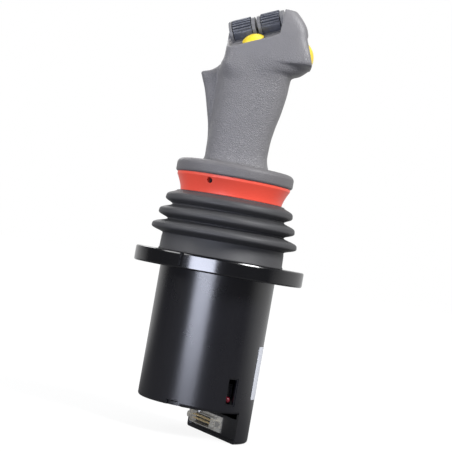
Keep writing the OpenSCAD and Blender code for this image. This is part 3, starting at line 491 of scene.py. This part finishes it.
def ring_faces(rings: int, count: int, closed: bool = False) -> list[tuple[int, ...]]:
    """Lists the faces between rings of points.

    Args:
        rings: How many rings there are.
        count: Points in a ring.
        closed: True where the last ring joins the first.

    Returns:
        The faces.
    """
    faces = []
    for j in range(rings if closed else rings - 1):
        a, b = j * count, (j + 1) % rings * count
        faces += [(a + i, a + (i + 1) % count, b + (i + 1) % count, b + i) for i in range(count)]
    return faces


def revolve(name: str, profile: Points, count: int = 192) -> Piece:
    """Turns a closed profile about the stick's axis.

    Args:
        name: The object's name.
        profile: Radii and heights in millimetres, the outside going up.
        count: Steps of the turn.

    Returns:
        The object.
    """
    angle = 2 * np.pi * np.arange(count) / count
    r, z = np.array(profile, float).T
    turns = (r, np.cos(angle)), (r, np.sin(angle)), (z, np.ones(count))
    points = np.stack([np.outer(size, turn) for size, turn in turns], -1)
    return link_mesh(name, points.reshape(-1, 3), ring_faces(len(profile), count, closed=True))


def box_tool(frame_at: Matrix, low: tuple, high: tuple) -> Piece:
    """Makes a box to cut or keep what it meets.

    Args:
        frame_at: Where it stands, in millimetres.
        low: Its lowest corner there.
        high: Its highest corner there.

    Returns:
        The tool.
    """
    (x0, y0, z0), (x1, y1, z1) = low, high
    corners = [frame_at @ Vector((x, y, z)) for z in (z0, z1) for y in (y0, y1) for x in (x0, x1)]
    faces = [(0, 2, 3, 1), (4, 5, 7, 6), (0, 1, 5, 4), (1, 3, 7, 5), (3, 2, 6, 7), (2, 0, 4, 6)]
    return link_mesh("tool", corners, faces)


def rod_tool(frame_at: Matrix, radius: float, low: float, high: float, count: int = 96) -> Piece:
    """Makes a cylinder along its frame's Z, to cut with or to add.

    Args:
        frame_at: Where it stands, in millimetres.
        radius: Its radius.
        low: Its lower end.
        high: Its upper end.
        count: Sides.

    Returns:
        The tool.
    """
    angle = 2 * np.pi * np.arange(count) / count
    round_line = [(radius * math.cos(a), radius * math.sin(a)) for a in angle]
    points = [frame_at @ Vector((x, y, z)) for z in (low, high) for x, y in round_line]
    faces = ring_faces(2, count) + [tuple(range(count - 1, -1, -1)), tuple(range(count, 2 * count))]
    return link_mesh("tool", points, faces)


def settle(piece: Piece) -> None:
    """Applies a piece's modifiers to its mesh."""
    graph = bpy.context.evaluated_depsgraph_get()
    mesh = bpy.data.meshes.new_from_object(piece.evaluated_get(graph))
    old = piece.data
    piece.modifiers.clear()
    piece.data = mesh
    bpy.data.meshes.remove(old)


def combine(piece: Piece, tool: Piece, operation: str = "DIFFERENCE") -> None:
    """Cuts a piece with a tool or joins them, and removes the tool.

    Args:
        piece: What is changed.
        tool: What changes it.
        operation: "DIFFERENCE", "INTERSECT" or "UNION".
    """
    cut = piece.modifiers.new("cut", "BOOLEAN")
    cut.operation = operation
    cut.solver = "EXACT"
    cut.object = tool
    settle(piece)
    mesh = tool.data
    bpy.data.objects.remove(tool)
    bpy.data.meshes.remove(mesh)


def soften(piece: Piece, voxel: float, rounds: int) -> None:
    """Gives a cut piece the soft edges of a moulding.

    Args:
        piece: The piece.
        voxel: Size of its new faces in metres.
        rounds: Rounds of smoothing.
    """
    remesh = piece.modifiers.new("remesh", "REMESH")
    remesh.mode = "VOXEL"
    remesh.voxel_size = voxel
    remesh.use_smooth_shade = True
    calm = piece.modifiers.new("calm", "SMOOTH")
    calm.factor = 0.5
    calm.iterations = rounds
    settle(piece)


def soft_edges(piece: Piece, width: float) -> bpy.types.Modifier:
    """Adds a bevel to a piece's sharp edges.

    Args:
        piece: The piece.
        width: Its width in metres.

    Returns:
        The modifier.
    """
    bevel = piece.modifiers.new("round", "BEVEL")
    bevel.width = width
    bevel.segments = 2
    bevel.limit_method = "ANGLE"
    return bevel


def move_mesh(piece: Piece, place: Matrix) -> None:
    """Moves a piece's mesh to a frame in millimetres."""
    piece.data.transform(Matrix.Scale(MM, 4) @ place @ Matrix.Scale(1 / MM, 4))


def shade_smooth(piece: Piece, sharp: float = 180.0) -> None:
    """Shades a new piece's faces smooth.

    Args:
        piece: The piece.
        sharp: Edges that turn by more than this angle in degrees stay sharp.
    """
    piece.data.polygons.foreach_set("use_smooth", [True] * len(piece.data.polygons))
    if sharp < 180.0:
        piece.data.set_sharp_from_angle(angle=math.radians(sharp))
    piece.data.update()


# The grip

@dataclass
class Grip:
    """The moulded hand grip: one lofted form in two halves, cut for the controls.

    Sizes are in millimetres. Heel, finger and side give the outline by height over the collar. A well, bore
    or hole has its radius and its two ends, and a slot or flat its two corners.
    """

    base_z: float = 86.51
    height: float = 128.0
    heel: Points = field(default_factory=lambda: [
        (0, -28.2), (5, -26.6), (16, -26.8), (28, -28.2), (41.5, -31.5), (57.3, -36), (68.5, -40.5),
        (70, -41), (71.2, -39.8), (72.6, -35.4), (76.9, -29), (82, -25.5), (88, -24.6), (128, -24.4)])
    finger: Points = field(default_factory=lambda: [
        (0, 26.4), (4.5, 24.5), (11, 23.1), (22, 23.4), (34, 25), (48.5, 28), (63.5, 30.1), (76, 31),
        (77.8, 32.6), (80.2, 37.9), (84.9, 43.2), (87.8, 46), (89, 46.2), (107.6, 39.2), (115.8, 36.8),
        (119, 34.9), (122.2, 32.3), (125.2, 29.6), (128, 26.6)])
    side: Points = field(default_factory=lambda: [
        (0, 22), (8, 20.5), (20, 20), (45, 20.5), (68, 21), (88, 22.6), (110, 23), (122, 22), (128, 20.5)])
    step: float = 1.4
    fine: tuple = (66.0, 92.0, 0.45)
    fin: float = 6.5
    fin_powers: tuple = (6, 2.2)
    column_power: float = 2.35
    head_power: float = 8.0
    head_skew: float = 0.16
    skew_end: float = 10.0
    head_low: float = 66.0
    head_rise: float = 26.0
    column_heel: float = -26.5
    wall: float = 2.0
    recess: float = 3.0
    clearance: float = 60.0
    nose_power: float = 6.5
    nose_low: float = 85.0
    nose_rise: float = 3.4
    hood_at: tuple = (21.1, 0.0, 111.0)
    hood_lean: float = 1.0
    rear_wall: tuple = (-21.6, -2.0, 8.0)
    roller_at: tuple = (0.0, 7.2, 1.8)
    plate_at: tuple = (-1.6, 0.0, 109.6)
    plate_turn: tuple = (-13.0, -21.3, 26.8)
    trigger_at: tuple = (41.3, -1.6, 98.0)
    trigger_lean: float = 70.0
    trough: tuple = (11.23, -21.6, 23.2)
    board_slot: tuple = ((-21.3, 1.4, -12.5), (22.9, 13.0, -4.0))
    thumb_at: tuple = (-3.4, -12.5, 0.0)
    thumb_well: tuple = (9.2, -16.0, 5.0)
    trigger_flat: tuple = ((-12.5, -30.0, 0.0), (12.5, 30.0, 20.0))
    trigger_well: tuple = (10.4, -17.0, 5.0)
    insert_bore: tuple = (12.03, -1.0, 41.0)
    screws: Points = field(default_factory=lambda: [(-17, 20), (16, 22), (-18, 62), (20, 68)])
    screw_hole: tuple = (1.53, -8.0, 32.0)
    screw_head: tuple = (2.6, 10.0, 40.0)
    seam: float = 0.03
    voxel: float = 0.0007

    def plate(self) -> Matrix:
        """Gives the thumb plate's frame, in millimetres."""
        yaw, pitch, roll = self.plate_turn
        x, y, z = self.plate_at
        place = Matrix.Translation((x, y, z + self.base_z))
        return place @ turned(yaw, "Z") @ turned(pitch, "Y") @ turned(roll, "X")

    def rollers(self) -> Matrix:
        """Gives the frame whose Z is the rollers' axle, in millimetres."""
        return self.plate() @ Matrix.Translation(self.roller_at) @ turned(90, "Y")

    def trigger(self) -> Matrix:
        """Gives the trigger button's frame, in millimetres."""
        x, y, z = self.trigger_at
        return Matrix.Translation((x, y, z + self.base_z)) @ turned(self.trigger_lean, "Y")

    def levels(self) -> np.ndarray:
        """Gives the heights of the loft's rings."""
        levels = [np.arange(0, self.height, self.step), np.arange(*self.fine), [self.height]]
        return np.unique(np.round(np.concatenate(levels), 3))

    def form(self, inset: float = 0.0, half_count: int = 56) -> Piece:
        """Lofts the grip's outer form.

        Args:
            inset: How far inside the surface it lies, in millimetres.
            half_count: Points along one side of a ring.

        Returns:
            The closed form.
        """
        h = self.levels()
        x0 = (smooth_line(self.heel)(h) + inset)[:, None]
        x1 = (smooth_line(self.finger)(h) - inset)[:, None]
        thick = (smooth_line(self.side)(h) - inset)[:, None]
        t = np.pi * np.arange(2 * half_count) / half_count
        x = (x0 + x1) / 2 + (x1 - x0) / 2 * np.cos(t)[None, :]
        rise = np.clip((h - self.head_low) / self.head_rise, 0, 1)
        headness = (rise * rise * (3 - 2 * rise))[:, None]
        c0 = np.maximum(x0, self.column_heel + inset)
        cm, cr = (c0 + x1) / 2, (x1 - c0) / 2
        lift = np.clip((h - self.nose_low) / self.nose_rise, 0, 1)[:, None]
        nose = self.column_power + (self.nose_power - self.column_power) * lift * lift * (3 - 2 * lift)
        power = np.where(x < cm, self.column_power + (self.head_power - self.column_power) * headness, nose)
        across = np.clip(np.abs(x - cm) / cr, 0, 1)
        column = np.power(1 - np.power(across, power), 1 / power)
        fm, fr = (x0 + x1) / 2, (x1 - x0) / 2
        flat, ends = self.fin_powers
        blade = np.power(1 - np.power(np.clip(np.abs(x - fm) / fr, 0, 1), flat), 1 / ends)
        half = np.cbrt(np.power(thick * column, 3) + np.power((self.fin - inset / 2) * blade, 3))
        half[:, 0] = half[:, half_count] = 0
        sign = np.where(np.arange(2 * half_count) < half_count, 1.0, -1.0)
        y = sign * half - self.head_skew * headness * np.minimum(x, self.skew_end)
        z = np.repeat((h + self.base_z)[:, None], 2 * half_count, 1)
        count = 2 * half_count
        faces = ring_faces(len(h), count)
        faces += [tuple(range(count - 1, -1, -1)), tuple(range((len(h) - 1) * count, len(h) * count))]
        return link_mesh("grip_form", np.stack([x, y, z], -1).reshape(-1, 3), faces)

    def over_plate(self, low: float, height: float) -> Piece:
        """Makes the space over the thumb plate, as far as the hood.

        Args:
            low: Where it starts over the plate.
            height: How high it is.

        Returns:
            The tool.
        """
        x, y, z = self.hood_at
        place = Matrix.Translation((x, y, z + self.base_z))
        hood = place @ turned(self.plate_turn[0], "Z") @ turned(self.hood_lean, "Y")
        space = box_tool(self.plate(), (-FAR, -FAR, low), (FAR, FAR, low + height))
        combine(space, box_tool(hood, (-2 * FAR, -FAR, -FAR), (0, FAR, FAR)), "INTERSECT")
        past, (u, v, n) = FAR + 10, self.rear_wall
        if height > n:
            combine(space, box_tool(self.plate(), (-past, v, -1), (u, past, n)))
        return space

    def carve(self, form: Piece) -> None:
        """Cuts the thumb plate, its recess and the wells of every control.

        Args:
            form: The grip's outer form.
        """
        plate, trigger = self.plate(), self.trigger()
        past, deep, (u, v) = FAR + 10, 9, self.rear_wall[:2]
        recess = self.form(self.wall)
        combine(recess, self.over_plate(-self.recess, self.recess + 1), "INTERSECT")
        combine(recess, box_tool(plate, (-past, v, -deep), (u, past, deep)))
        tools = [self.over_plate(0, self.clearance), recess, rod_tool(self.rollers(), *self.trough),
                 box_tool(plate, *self.board_slot),
                 rod_tool(plate @ Matrix.Translation(self.thumb_at), *self.thumb_well),
                 box_tool(trigger, *self.trigger_flat), rod_tool(trigger, *self.trigger_well),
                 rod_tool(Matrix.Translation((0, 0, self.base_z)), *self.insert_bore)]
        for x, z in self.screws:
            side = Matrix.Translation((x, 0, self.base_z + z)) @ turned(-90, "X")
            tools += [rod_tool(side, *self.screw_hole, 32), rod_tool(side, *self.screw_head, 32)]
        for tool in tools:
            combine(form, tool)

    def build(self, dresser: Dresser) -> None:
        """Builds both halves in place of the CAD shells, which it hides."""
        form = self.form()
        self.carve(form)
        wide, low_z, high_z = 60.0, self.base_z - 1, 240
        for name, low, high in (("near", -wide, -self.seam), ("far", self.seam, wide)):
            half = add_object(f"grip_half_{name}", form.data.copy())
            combine(half, box_tool(Matrix.Identity(4), (-FAR, low, low_z), (FAR, high, high_z)), "INTERSECT")
            soften(half, self.voxel, 3)
            dresser.dress(half, "grip_grey")
            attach(half, "stick")
            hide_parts(f"grip_shell_{name}")
            log.info("%s: %d faces", half.name, len(half.data.polygons))
        bpy.data.objects.remove(form)


@dataclass
class Cheeks:
    """The rollers' housing: round cheeks on a trough, with a slit between the middle two.

    Sizes are in millimetres along the rollers' axle and out from it, but the bevel is in metres.
    """

    ends: tuple = (-21.3, 22.9)
    trough_r: float = 11.2
    trough_from: float = 3.8
    cheek_r: float = 9.0
    rear_step: float = 0.8
    rear_ends: tuple = (-0.9, 1.4)
    roller_r: float = 10.4
    roller_ends: tuple = ((-19.9, -3.7), (3.7, 19.9))
    slit_to: float = 2.5
    slit_half: float = 1.0
    axle_r: float = 1.53
    wide: float = 20.0
    bevel: float = 0.0003
    sharp: float = 35.0

    def build(self, dresser: Dresser, grip: Grip) -> None:
        """Builds the housing upright and moves it onto the grip's thumb plate."""
        (low, high), at, wide = self.ends, Matrix.Identity(4), self.wide
        piece = rod_tool(at, self.trough_r, low, high, 128)
        piece.name = "roller_cheeks"
        keep = box_tool(at, (self.trough_from, -wide, low - 1), (wide + 10, wide, high + 1))
        combine(piece, keep, "INTERSECT")
        combine(piece, rod_tool(at, self.cheek_r, low, high, 128), "UNION")
        start, end = (low + step for step in self.rear_ends)
        combine(piece, rod_tool(at, self.cheek_r + self.rear_step, start, end, 128), "UNION")
        for start, end in self.roller_ends:
            combine(piece, rod_tool(at, self.roller_r, start, end, 128))
        combine(piece, box_tool(at, (-wide, -wide, -self.slit_half), (self.slit_to, wide, self.slit_half)))
        combine(piece, rod_tool(at, self.axle_r, low - 1, high + 1, 48))
        soft_edges(piece, self.bevel)
        settle(piece)
        move_mesh(piece, grip.rollers())
        shade_smooth(piece, self.sharp)
        # The cheeks take a darker copy of grip grey, a painted shade.
        dresser.dress(piece, "cheek_grey_painted_shade")
        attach(piece, "stick")
        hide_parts("roller_housing")


@dataclass
class Collar:
    """The collar under the grip, with soft edges. Sizes are in millimetres."""

    bottom: float = 60.61
    low: float = 75.51
    side: float = 47.2
    spigot_r: float = 29.7
    shaft_r: float = 7.03
    socket_r: float = 12.3
    socket_h: float = 4.0
    edge: float = 2.0
    crown: tuple = (5.0, 4.2)
    sharp: float = 35.0

    def build(self, dresser: Dresser, grip: Grip) -> None:
        """Builds the collar up to the grip's foot."""
        low, top, side, edge, (wide, high) = self.low, grip.base_z, self.side, self.edge, self.crown
        turn = np.radians(np.linspace(0, 90, 10))
        profile = [(self.shaft_r, self.bottom), (self.spigot_r, self.bottom), (self.spigot_r, low)]
        profile += [(side - edge + edge * math.sin(a), low + edge - edge * math.cos(a)) for a in turn]
        profile += [(side - wide + wide * math.cos(a), top - high + high * math.sin(a)) for a in turn]
        socket_z = top - self.socket_h
        profile += [(self.socket_r, top), (self.socket_r, socket_z), (self.shaft_r, socket_z)]
        piece = revolve("collar_moulding", profile, 256)
        shade_smooth(piece, self.sharp)
        dresser.dress(piece, "collar_grey")
        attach(piece, "stick")
        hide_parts("grip_collar")


@dataclass
class FootRing:
    """The dark ring round the trigger button's foot. Sizes are in millimetres."""

    low: float = -0.3
    top: float = 0.4
    inner: float = 10.2
    outer: float = 10.95
    edge: float = 0.2

    def build(self, dresser: Dresser, grip: Grip) -> None:
        """Builds the ring where the grip holds the button."""
        inner, outer, top, edge = self.inner, self.outer, self.top, self.edge
        profile = [(outer, self.low), (outer, top - edge), (outer - edge, top),
                   (inner + edge, top), (inner, top - edge), (inner, self.low)]
        # A black ring round the button's foot that the CAD model doesn't have.
        piece = revolve("trigger_foot_ring", profile, 96)
        move_mesh(piece, grip.trigger())
        shade_smooth(piece)
        dresser.dress(piece, "black_plastic")
        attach(piece, "stick")


# The bellows

@dataclass
class Bellows:
    """The rubber bellows: a skirt and three folds, parted at a valley.

    Sizes are in millimetres. The bead and the flare are steps out and up, from the skirt's foot and its top.
    """

    flange_top: float = 12.0
    skirt_r: float = 50.2
    skirt_lean: float = 1.1
    skirt_top: float = 24.85
    fold: float = 11.92
    folds: int = 3
    crest_r: float = 58.6
    crest_step: float = 3.65
    neck_r: float = 43.4
    roundness: float = 1.1
    wall: float = 2.0
    fold_wall: float = 1.5
    bead: Points = field(default_factory=lambda: [(0, 0), (0.25, 0.5), (0, 1.2), (-0.5, 1.8)])
    flare: Points = field(default_factory=lambda: [(0.3, -2), (0.05, -0.6)])
    foot_r: float = 42.4
    crown: tuple = (34.5, 41.0)
    steps: int = 28

    def radius(self, z: float) -> float:
        """Gives the outer radius of the folds at a height."""
        t = (z - self.skirt_top) / self.fold
        i = min(int(math.floor(t + 1e-9)), self.folds - 1)
        f = t - i
        low_r = self.skirt_r - self.skirt_lean
        ends = [low_r + (self.neck_r - low_r) * k / self.folds for k in (i, i + 1)]
        rise = self.crest_r - i * self.crest_step - sum(ends) / 2
        swell = max(0.0, math.sin(math.pi * f))
        return ends[0] + (ends[1] - ends[0]) * f + rise * (swell * swell * (3 - 2 * swell)) ** self.roundness

    def band(self, first: int, last: int) -> Points:
        """Lists the outer line between two valleys, closer where it turns fast."""
        line = []
        for i in range(first, last):
            for k in range(self.steps + 1):
                f = (1 - math.cos(math.pi * k / self.steps)) / 2
                z = self.skirt_top + (i + f) * self.fold
                if not line or z > line[-1][1] + 1e-6:
                    line.append((self.radius(min(z, self.skirt_top + (i + 1) * self.fold - 1e-7)), z))
        return line

    def build(self, dresser: Dresser) -> None:
        """Builds both bands in place of the CAD bellows, which it hides."""
        split = self.skirt_top + self.fold
        top = self.skirt_top + self.folds * self.fold
        low_r = self.skirt_r - self.skirt_lean
        skirt = [(self.skirt_r + r, self.flange_top + z) for r, z in self.bead]
        skirt += [(low_r + r, self.skirt_top + z) for r, z in self.flare]
        lower, upper = self.band(0, 1), self.band(1, self.folds)
        inside = [(r - self.wall * self.fold_wall, z) for r, z in reversed(lower[2:])]
        inner = [(r - self.wall * self.fold_wall, z) for r, z in reversed(upper[:-3])]
        foot = self.flange_top + self.wall
        under = [(low_r - self.wall, self.skirt_top - 2), (self.skirt_r - self.wall, foot),
                 (self.foot_r, foot), (self.foot_r, self.flange_top)]
        mouth, seat = self.crown
        crown = [(mouth, top), (mouth, top - self.wall), (seat, top - self.wall)]
        parts = (("bellows_low", skirt + lower + inside + under, "base", "gimbal", self.flange_top, split),
                 ("bellows_high", upper + crown + inner, "gimbal", "stick", split, top))
        for name, profile, first, second, start, end in parts:
            piece = revolve(name, profile)
            shade_smooth(piece)
            dresser.dress(piece, "bellows_rubber")
            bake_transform(piece)
            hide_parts("bellows")
            log.info("%s: %d faces", name, len(piece.data.polygons))


# Other pieces

@dataclass
class Label:
    """The bare white label on the canister's right side, in millimetres and degrees."""

    radius: float = 46.32
    thickness: float = 0.16
    low: float = -93.0
    high: float = -50.8
    start: float = 66.6
    end: float = 110.0
    corner: float = 1.6
    steps: int = 40

    def build(self, dresser: Dresser) -> None:
        """Builds the label as a thin curved sheet with round corners."""
        arc = math.radians(self.end - self.start) * self.radius
        count, corner = self.steps, self.corner
        s = (1 - np.cos(np.pi * np.arange(count + 1) / count)) / 2 * arc
        near = np.minimum(s, arc - s)
        bend = corner - np.sqrt(np.maximum(0, corner**2 - (corner - near)**2))
        lift = np.where(near < corner, bend, 0)
        angle = math.radians(self.start) + s / self.radius
        points = []
        for r in (self.radius, self.radius + self.thickness):
            for z in (self.low + lift, self.high - lift):
                points.append(np.stack([r * np.sin(angle), -r * np.cos(angle), z], -1))
        n = count + 1
        faces = []
        for a in range(count):
            b = a + 1
            faces += [(a, b, n + b, n + a), (2 * n + a, 3 * n + a, 3 * n + b, 2 * n + b),
                      (a, 2 * n + a, 2 * n + b, b), (n + a, n + b, 3 * n + b, 3 * n + a)]
        faces += [(0, n, 3 * n, 2 * n), (count, 2 * n + count, 3 * n + count, n + count)]
        piece = link_mesh("bare_label", np.concatenate(points), faces)
        dresser.dress(piece, "label_white")
        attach(piece, "base")


@dataclass
class Springs:
    """The springs, each built from its CAD node.

    Outer and inner give where the centring springs bend, in millimetres from the middle, but the build makes
    nothing of them.
    """

    outer: tuple = (28.7, 35.5)
    inner: tuple = (11.2, 18.0)
    sharp: float = 50.0
    seams: float = 0.000002

    def part(self, name: str, label: str, side: Vector, dresser: Dresser) -> Piece:
        """Makes a piece like a CAD spring, or like the half of it that lies to one side.

        Args:
            name: The CAD node.
            label: The new piece's name.
            side: A direction towards the half that is kept, or a zero vector for all of it.
            dresser: Gives the finishes.

        Returns:
            The piece.
        """
        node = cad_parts[name]
        points = [node.matrix_world @ v.co for v in node.data.vertices]
        faces = [tuple(f.vertices) for f in node.data.polygons if points[f.vertices[0]].dot(side) >= 0]
        piece = link_mesh(label, points, faces, 1.0)
        weld = piece.modifiers.new("weld", "WELD")
        weld.merge_threshold = self.seams
        settle(piece)
        mesh = bmesh.new()
        mesh.from_mesh(piece.data)
        bmesh.ops.delete(mesh, geom=[v for v in mesh.verts if not v.link_faces], context="VERTS")
        mesh.to_mesh(piece.data)
        mesh.free()
        shade_smooth(piece, self.sharp)
        dresser.dress(piece, "spring_steel")
        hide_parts(name)
        return piece

    def between(self, piece: Piece, axis: Vector) -> None:
        """Finds a push spring's two ends along an axis but keeps neither, and bakes the spring's place into
        its mesh.
        """
        along = [v.co.dot(axis) for v in piece.data.vertices]
        place = piece.data.vertices[0].co
        start, end = (place + axis * (level - place.dot(axis)) for level in (min(along), max(along)))
        tuple(start)
        tuple(end)
        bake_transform(piece)

    def build(self, dresser: Dresser, grip: Grip) -> None:
        """Builds the centring springs in halves and the buttons' springs whole."""
        for sign in (-1, 1):
            side = "left" if sign < 0 else "right"
            piece = self.part("outer_springs", f"outer_spring_{side}", Vector((sign, 0, 0)), dresser)
            near, far = (sign * v * MM for v in self.outer)
            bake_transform(piece)
            side = "near" if sign < 0 else "far"
            piece = self.part("inner_springs", f"inner_spring_{side}", Vector((0, sign, 0)), dresser)
            near, far = (sign * v * MM for v in self.inner)
            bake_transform(piece)
        for kind, turn in (("thumb", grip.plate()), ("trigger", grip.trigger())):
            piece = self.part(f"{kind}_spring", f"{kind}_push_spring", Vector(), dresser)
            self.between(piece, turn.to_3x3() @ Vector((0, 0, 1)))


@dataclass
class CadPieces:
    """The CAD nodes that stay: each gets its finish, and some get soft edges."""

    bevel: float = 0.0003
    angle: float = 32.0
    seams: float = 0.000004
    rounded: tuple = ("connector_bracket", "jack_screws", "roller_rear", "roller_front", "clamp_ring",
                      "main_board", "gimbal_ring", "stick_hub")
    black: tuple = ("connector_bracket", "status_board", "set_screw")

    def dress(self, dresser: Dresser) -> None:
        """Gives every CAD node its finish, and rounds the sharp edges of some."""
        for name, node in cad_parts.items():
            for slot in node.material_slots:
                # The nodes listed in black take the near-black finish in place of their own.
                look = "near_black_override" if name in self.black else slot.material.name.split(".")[0]
                slot.material = dresser.material(look)
            if name not in self.rounded:
                continue
            weld = node.modifiers.new("weld", "WELD")
            weld.merge_threshold = self.seams
            bevel = soft_edges(node, self.bevel)
            bevel.angle_limit = math.radians(self.angle)
            bevel.harden_normals = True
        log.info("dressed %d CAD nodes", len(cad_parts))


# The studio

@dataclass
class Studio:
    """Floor, light, world and camera, in metres and watts."""

    floor_z: float = -0.1287
    floor_size: float = 8.0
    floor_grey: float = 0.1
    floor_fade: tuple = (0.1, 0.9, 0.9, 1.0)
    eye: tuple = (0.0, -1.154, 0.019)
    aim: tuple = (0.0, 0.0, 0.0386)
    lens: float = 115.0
    lean: float = 10.0
    lamp_aim: tuple = (0.0, 0.0, 0.06)
    lamps: tuple = (
        ("strip", (-0.46, -1.17, -0.02), (0.76, 0.2), 7.9, (0.8, 0.84, 1.0)),
        ("key", (0.9, -0.8, 0.98), (0.5, 0.5), 26.0, WHITE),
        ("left", (-1.15, -0.42, 0.7), (0.8, 0.8), 10.0, WHITE),
        ("top", (0.0, 0.1, 1.5), (0.8, 0.8), 5.0, WHITE),
        ("back", (-0.5, 1.2, 0.8), (0.8, 0.8), 5.0, WHITE))
    world_colour: tuple = (0.94, 0.96, 1.0)
    world_level: float = 0.33
    white_side: tuple = (0.35, 0.94, 0.0)
    white_fade: tuple = (0.1, 0.7, 0.06, 0.72)

    def camera(self) -> None:
        """Places the camera at the photograph's angle."""
        data = bpy.data.cameras.new("camera")
        data.lens = self.lens
        data.sensor_width = 36.0
        data.clip_start = 0.05
        camera = add_object("camera", data)
        camera.matrix_world = facing(self.eye, self.aim) @ turned(self.lean, "Z")
        bpy.context.scene.camera = camera

    def lamp(self, name: str, at: tuple, size: tuple, power: float, colour: Colour) -> None:
        """Places one soft light that faces the joystick.

        Args:
            name: The light's name.
            at: Where it is, in metres.
            size: Its width and height.
            power: Its power in watts.
            colour: Its colour.
        """
        data = bpy.data.lights.new(name, "AREA")
        data.shape = "RECTANGLE"
        data.size, data.size_y = size
        data.energy = power
        data.color = colour
        add_object(name, data).matrix_world = facing(at, self.lamp_aim)

    def world(self) -> None:
        """Makes a dim world that shows white behind the joystick and in its gloss."""
        world = bpy.data.worlds.new("studio")
        world.use_nodes = True
        tree = world.node_tree
        plain = tree.nodes["Background"]
        fill(tree, plain, {"Color": (*self.world_colour, 1.0), "Strength": self.world_level})
        path = add_node(tree, "LightPath", {})
        level = self.backdrop(tree, add_node(tree, "TexCoord", {}).outputs["Generated"], path)
        white = add_node(tree, "Background", {"Color": (*WHITE, 1.0), "Strength": level})
        ways = {0: self.seen(tree, path), 1: plain.outputs[0], 2: white.outputs[0]}
        mix = add_node(tree, "MixShader", ways)
        fill(tree, tree.nodes["World Output"], {0: mix.outputs[0]})
        bpy.context.scene.world = world

    def seen(self, tree: Tree, path: Node) -> Socket:
        """Adds the nodes that tell camera, glossy and transmission rays from others.

        Args:
            tree: The node tree.
            path: Its Light Path node.

        Returns:
            A socket that is 1 for those rays.
        """
        value = maths(tree, "MAXIMUM", path.outputs["Is Camera Ray"], path.outputs["Is Glossy Ray"])
        return maths(tree, "MAXIMUM", value, path.outputs["Is Transmission Ray"])

    def backdrop(self, tree: Tree, place: Socket, path: Node) -> Socket:
        """Adds the nodes of a studio that is white behind the joystick and dim in front, for its gloss.

        Args:
            tree: The node tree.
            place: A direction or a place on the floor.
            path: Its Light Path node.

        Returns:
            The level, which is always 1 for the camera.
        """
        along = add_node(tree, "VectorMath", {0: place, 1: self.white_side}, operation="DOT_PRODUCT")
        level = fade(tree, along.outputs["Value"], self.white_fade)
        return maths(tree, "MAXIMUM", level, path.outputs["Is Camera Ray"])

    def floor(self) -> None:
        """Makes the pale floor, which goes to white away from the joystick and keeps its shadow."""
        size = self.floor_size
        corners = np.array([(-size, -size, 0), (size, -size, 0), (size, size, 0), (-size, size, 0)])
        floor = link_mesh("floor", corners, [(0, 1, 2, 3)], 1.0)
        floor.location.z = self.floor_z
        pale = bpy.data.materials.new("floor_white")
        pale.use_nodes = True
        tree = pale.node_tree
        shader = tree.nodes["Principled BSDF"]
        fill(tree, shader, {
            "Base Color": (*[self.floor_grey] * 3, 1.0), "Roughness": 0.9, "Specular IOR Level": 0.0})
        place = add_node(tree, "TexCoord", {}).outputs["Object"]
        length = add_node(tree, "VectorMath", {0: place}, operation="LENGTH")
        path = add_node(tree, "LightPath", {})
        away = fade(tree, length.outputs["Value"], self.floor_fade)
        power = maths(tree, "MULTIPLY", self.seen(tree, path), away)
        level = maths(tree, "MULTIPLY", power, self.backdrop(tree, place, path))
        glow = add_node(tree, "Emission", {"Strength": level})
        both = add_node(tree, "AddShader", {0: shader.outputs[0], 1: glow.outputs[0]})
        fill(tree, tree.nodes["Material Output"], {0: both.outputs[0]})
        floor.data.materials.append(pale)

    def build(self) -> None:
        """Builds the whole studio."""
        self.camera()
        for lamp in self.lamps:
            self.lamp(*lamp)
        self.world()
        self.floor()
        bpy.context.scene.view_settings.view_transform = "Standard"


def main() -> None:
    """Builds the studio and every piece in order."""
    logging.basicConfig(level=logging.INFO, format="%(name)s: %(message)s")
    Studio().build()
    dresser = Dresser()
    CadPieces().dress(dresser)
    Bellows().build(dresser)
    grip = Grip()
    grip.build(dresser)
    for part in (Cheeks(), Collar(), FootRing()):
        part.build(dresser, grip)
    Springs().build(dresser, grip)
    Label().build(dresser)


if __name__ == "__main__":
    main()
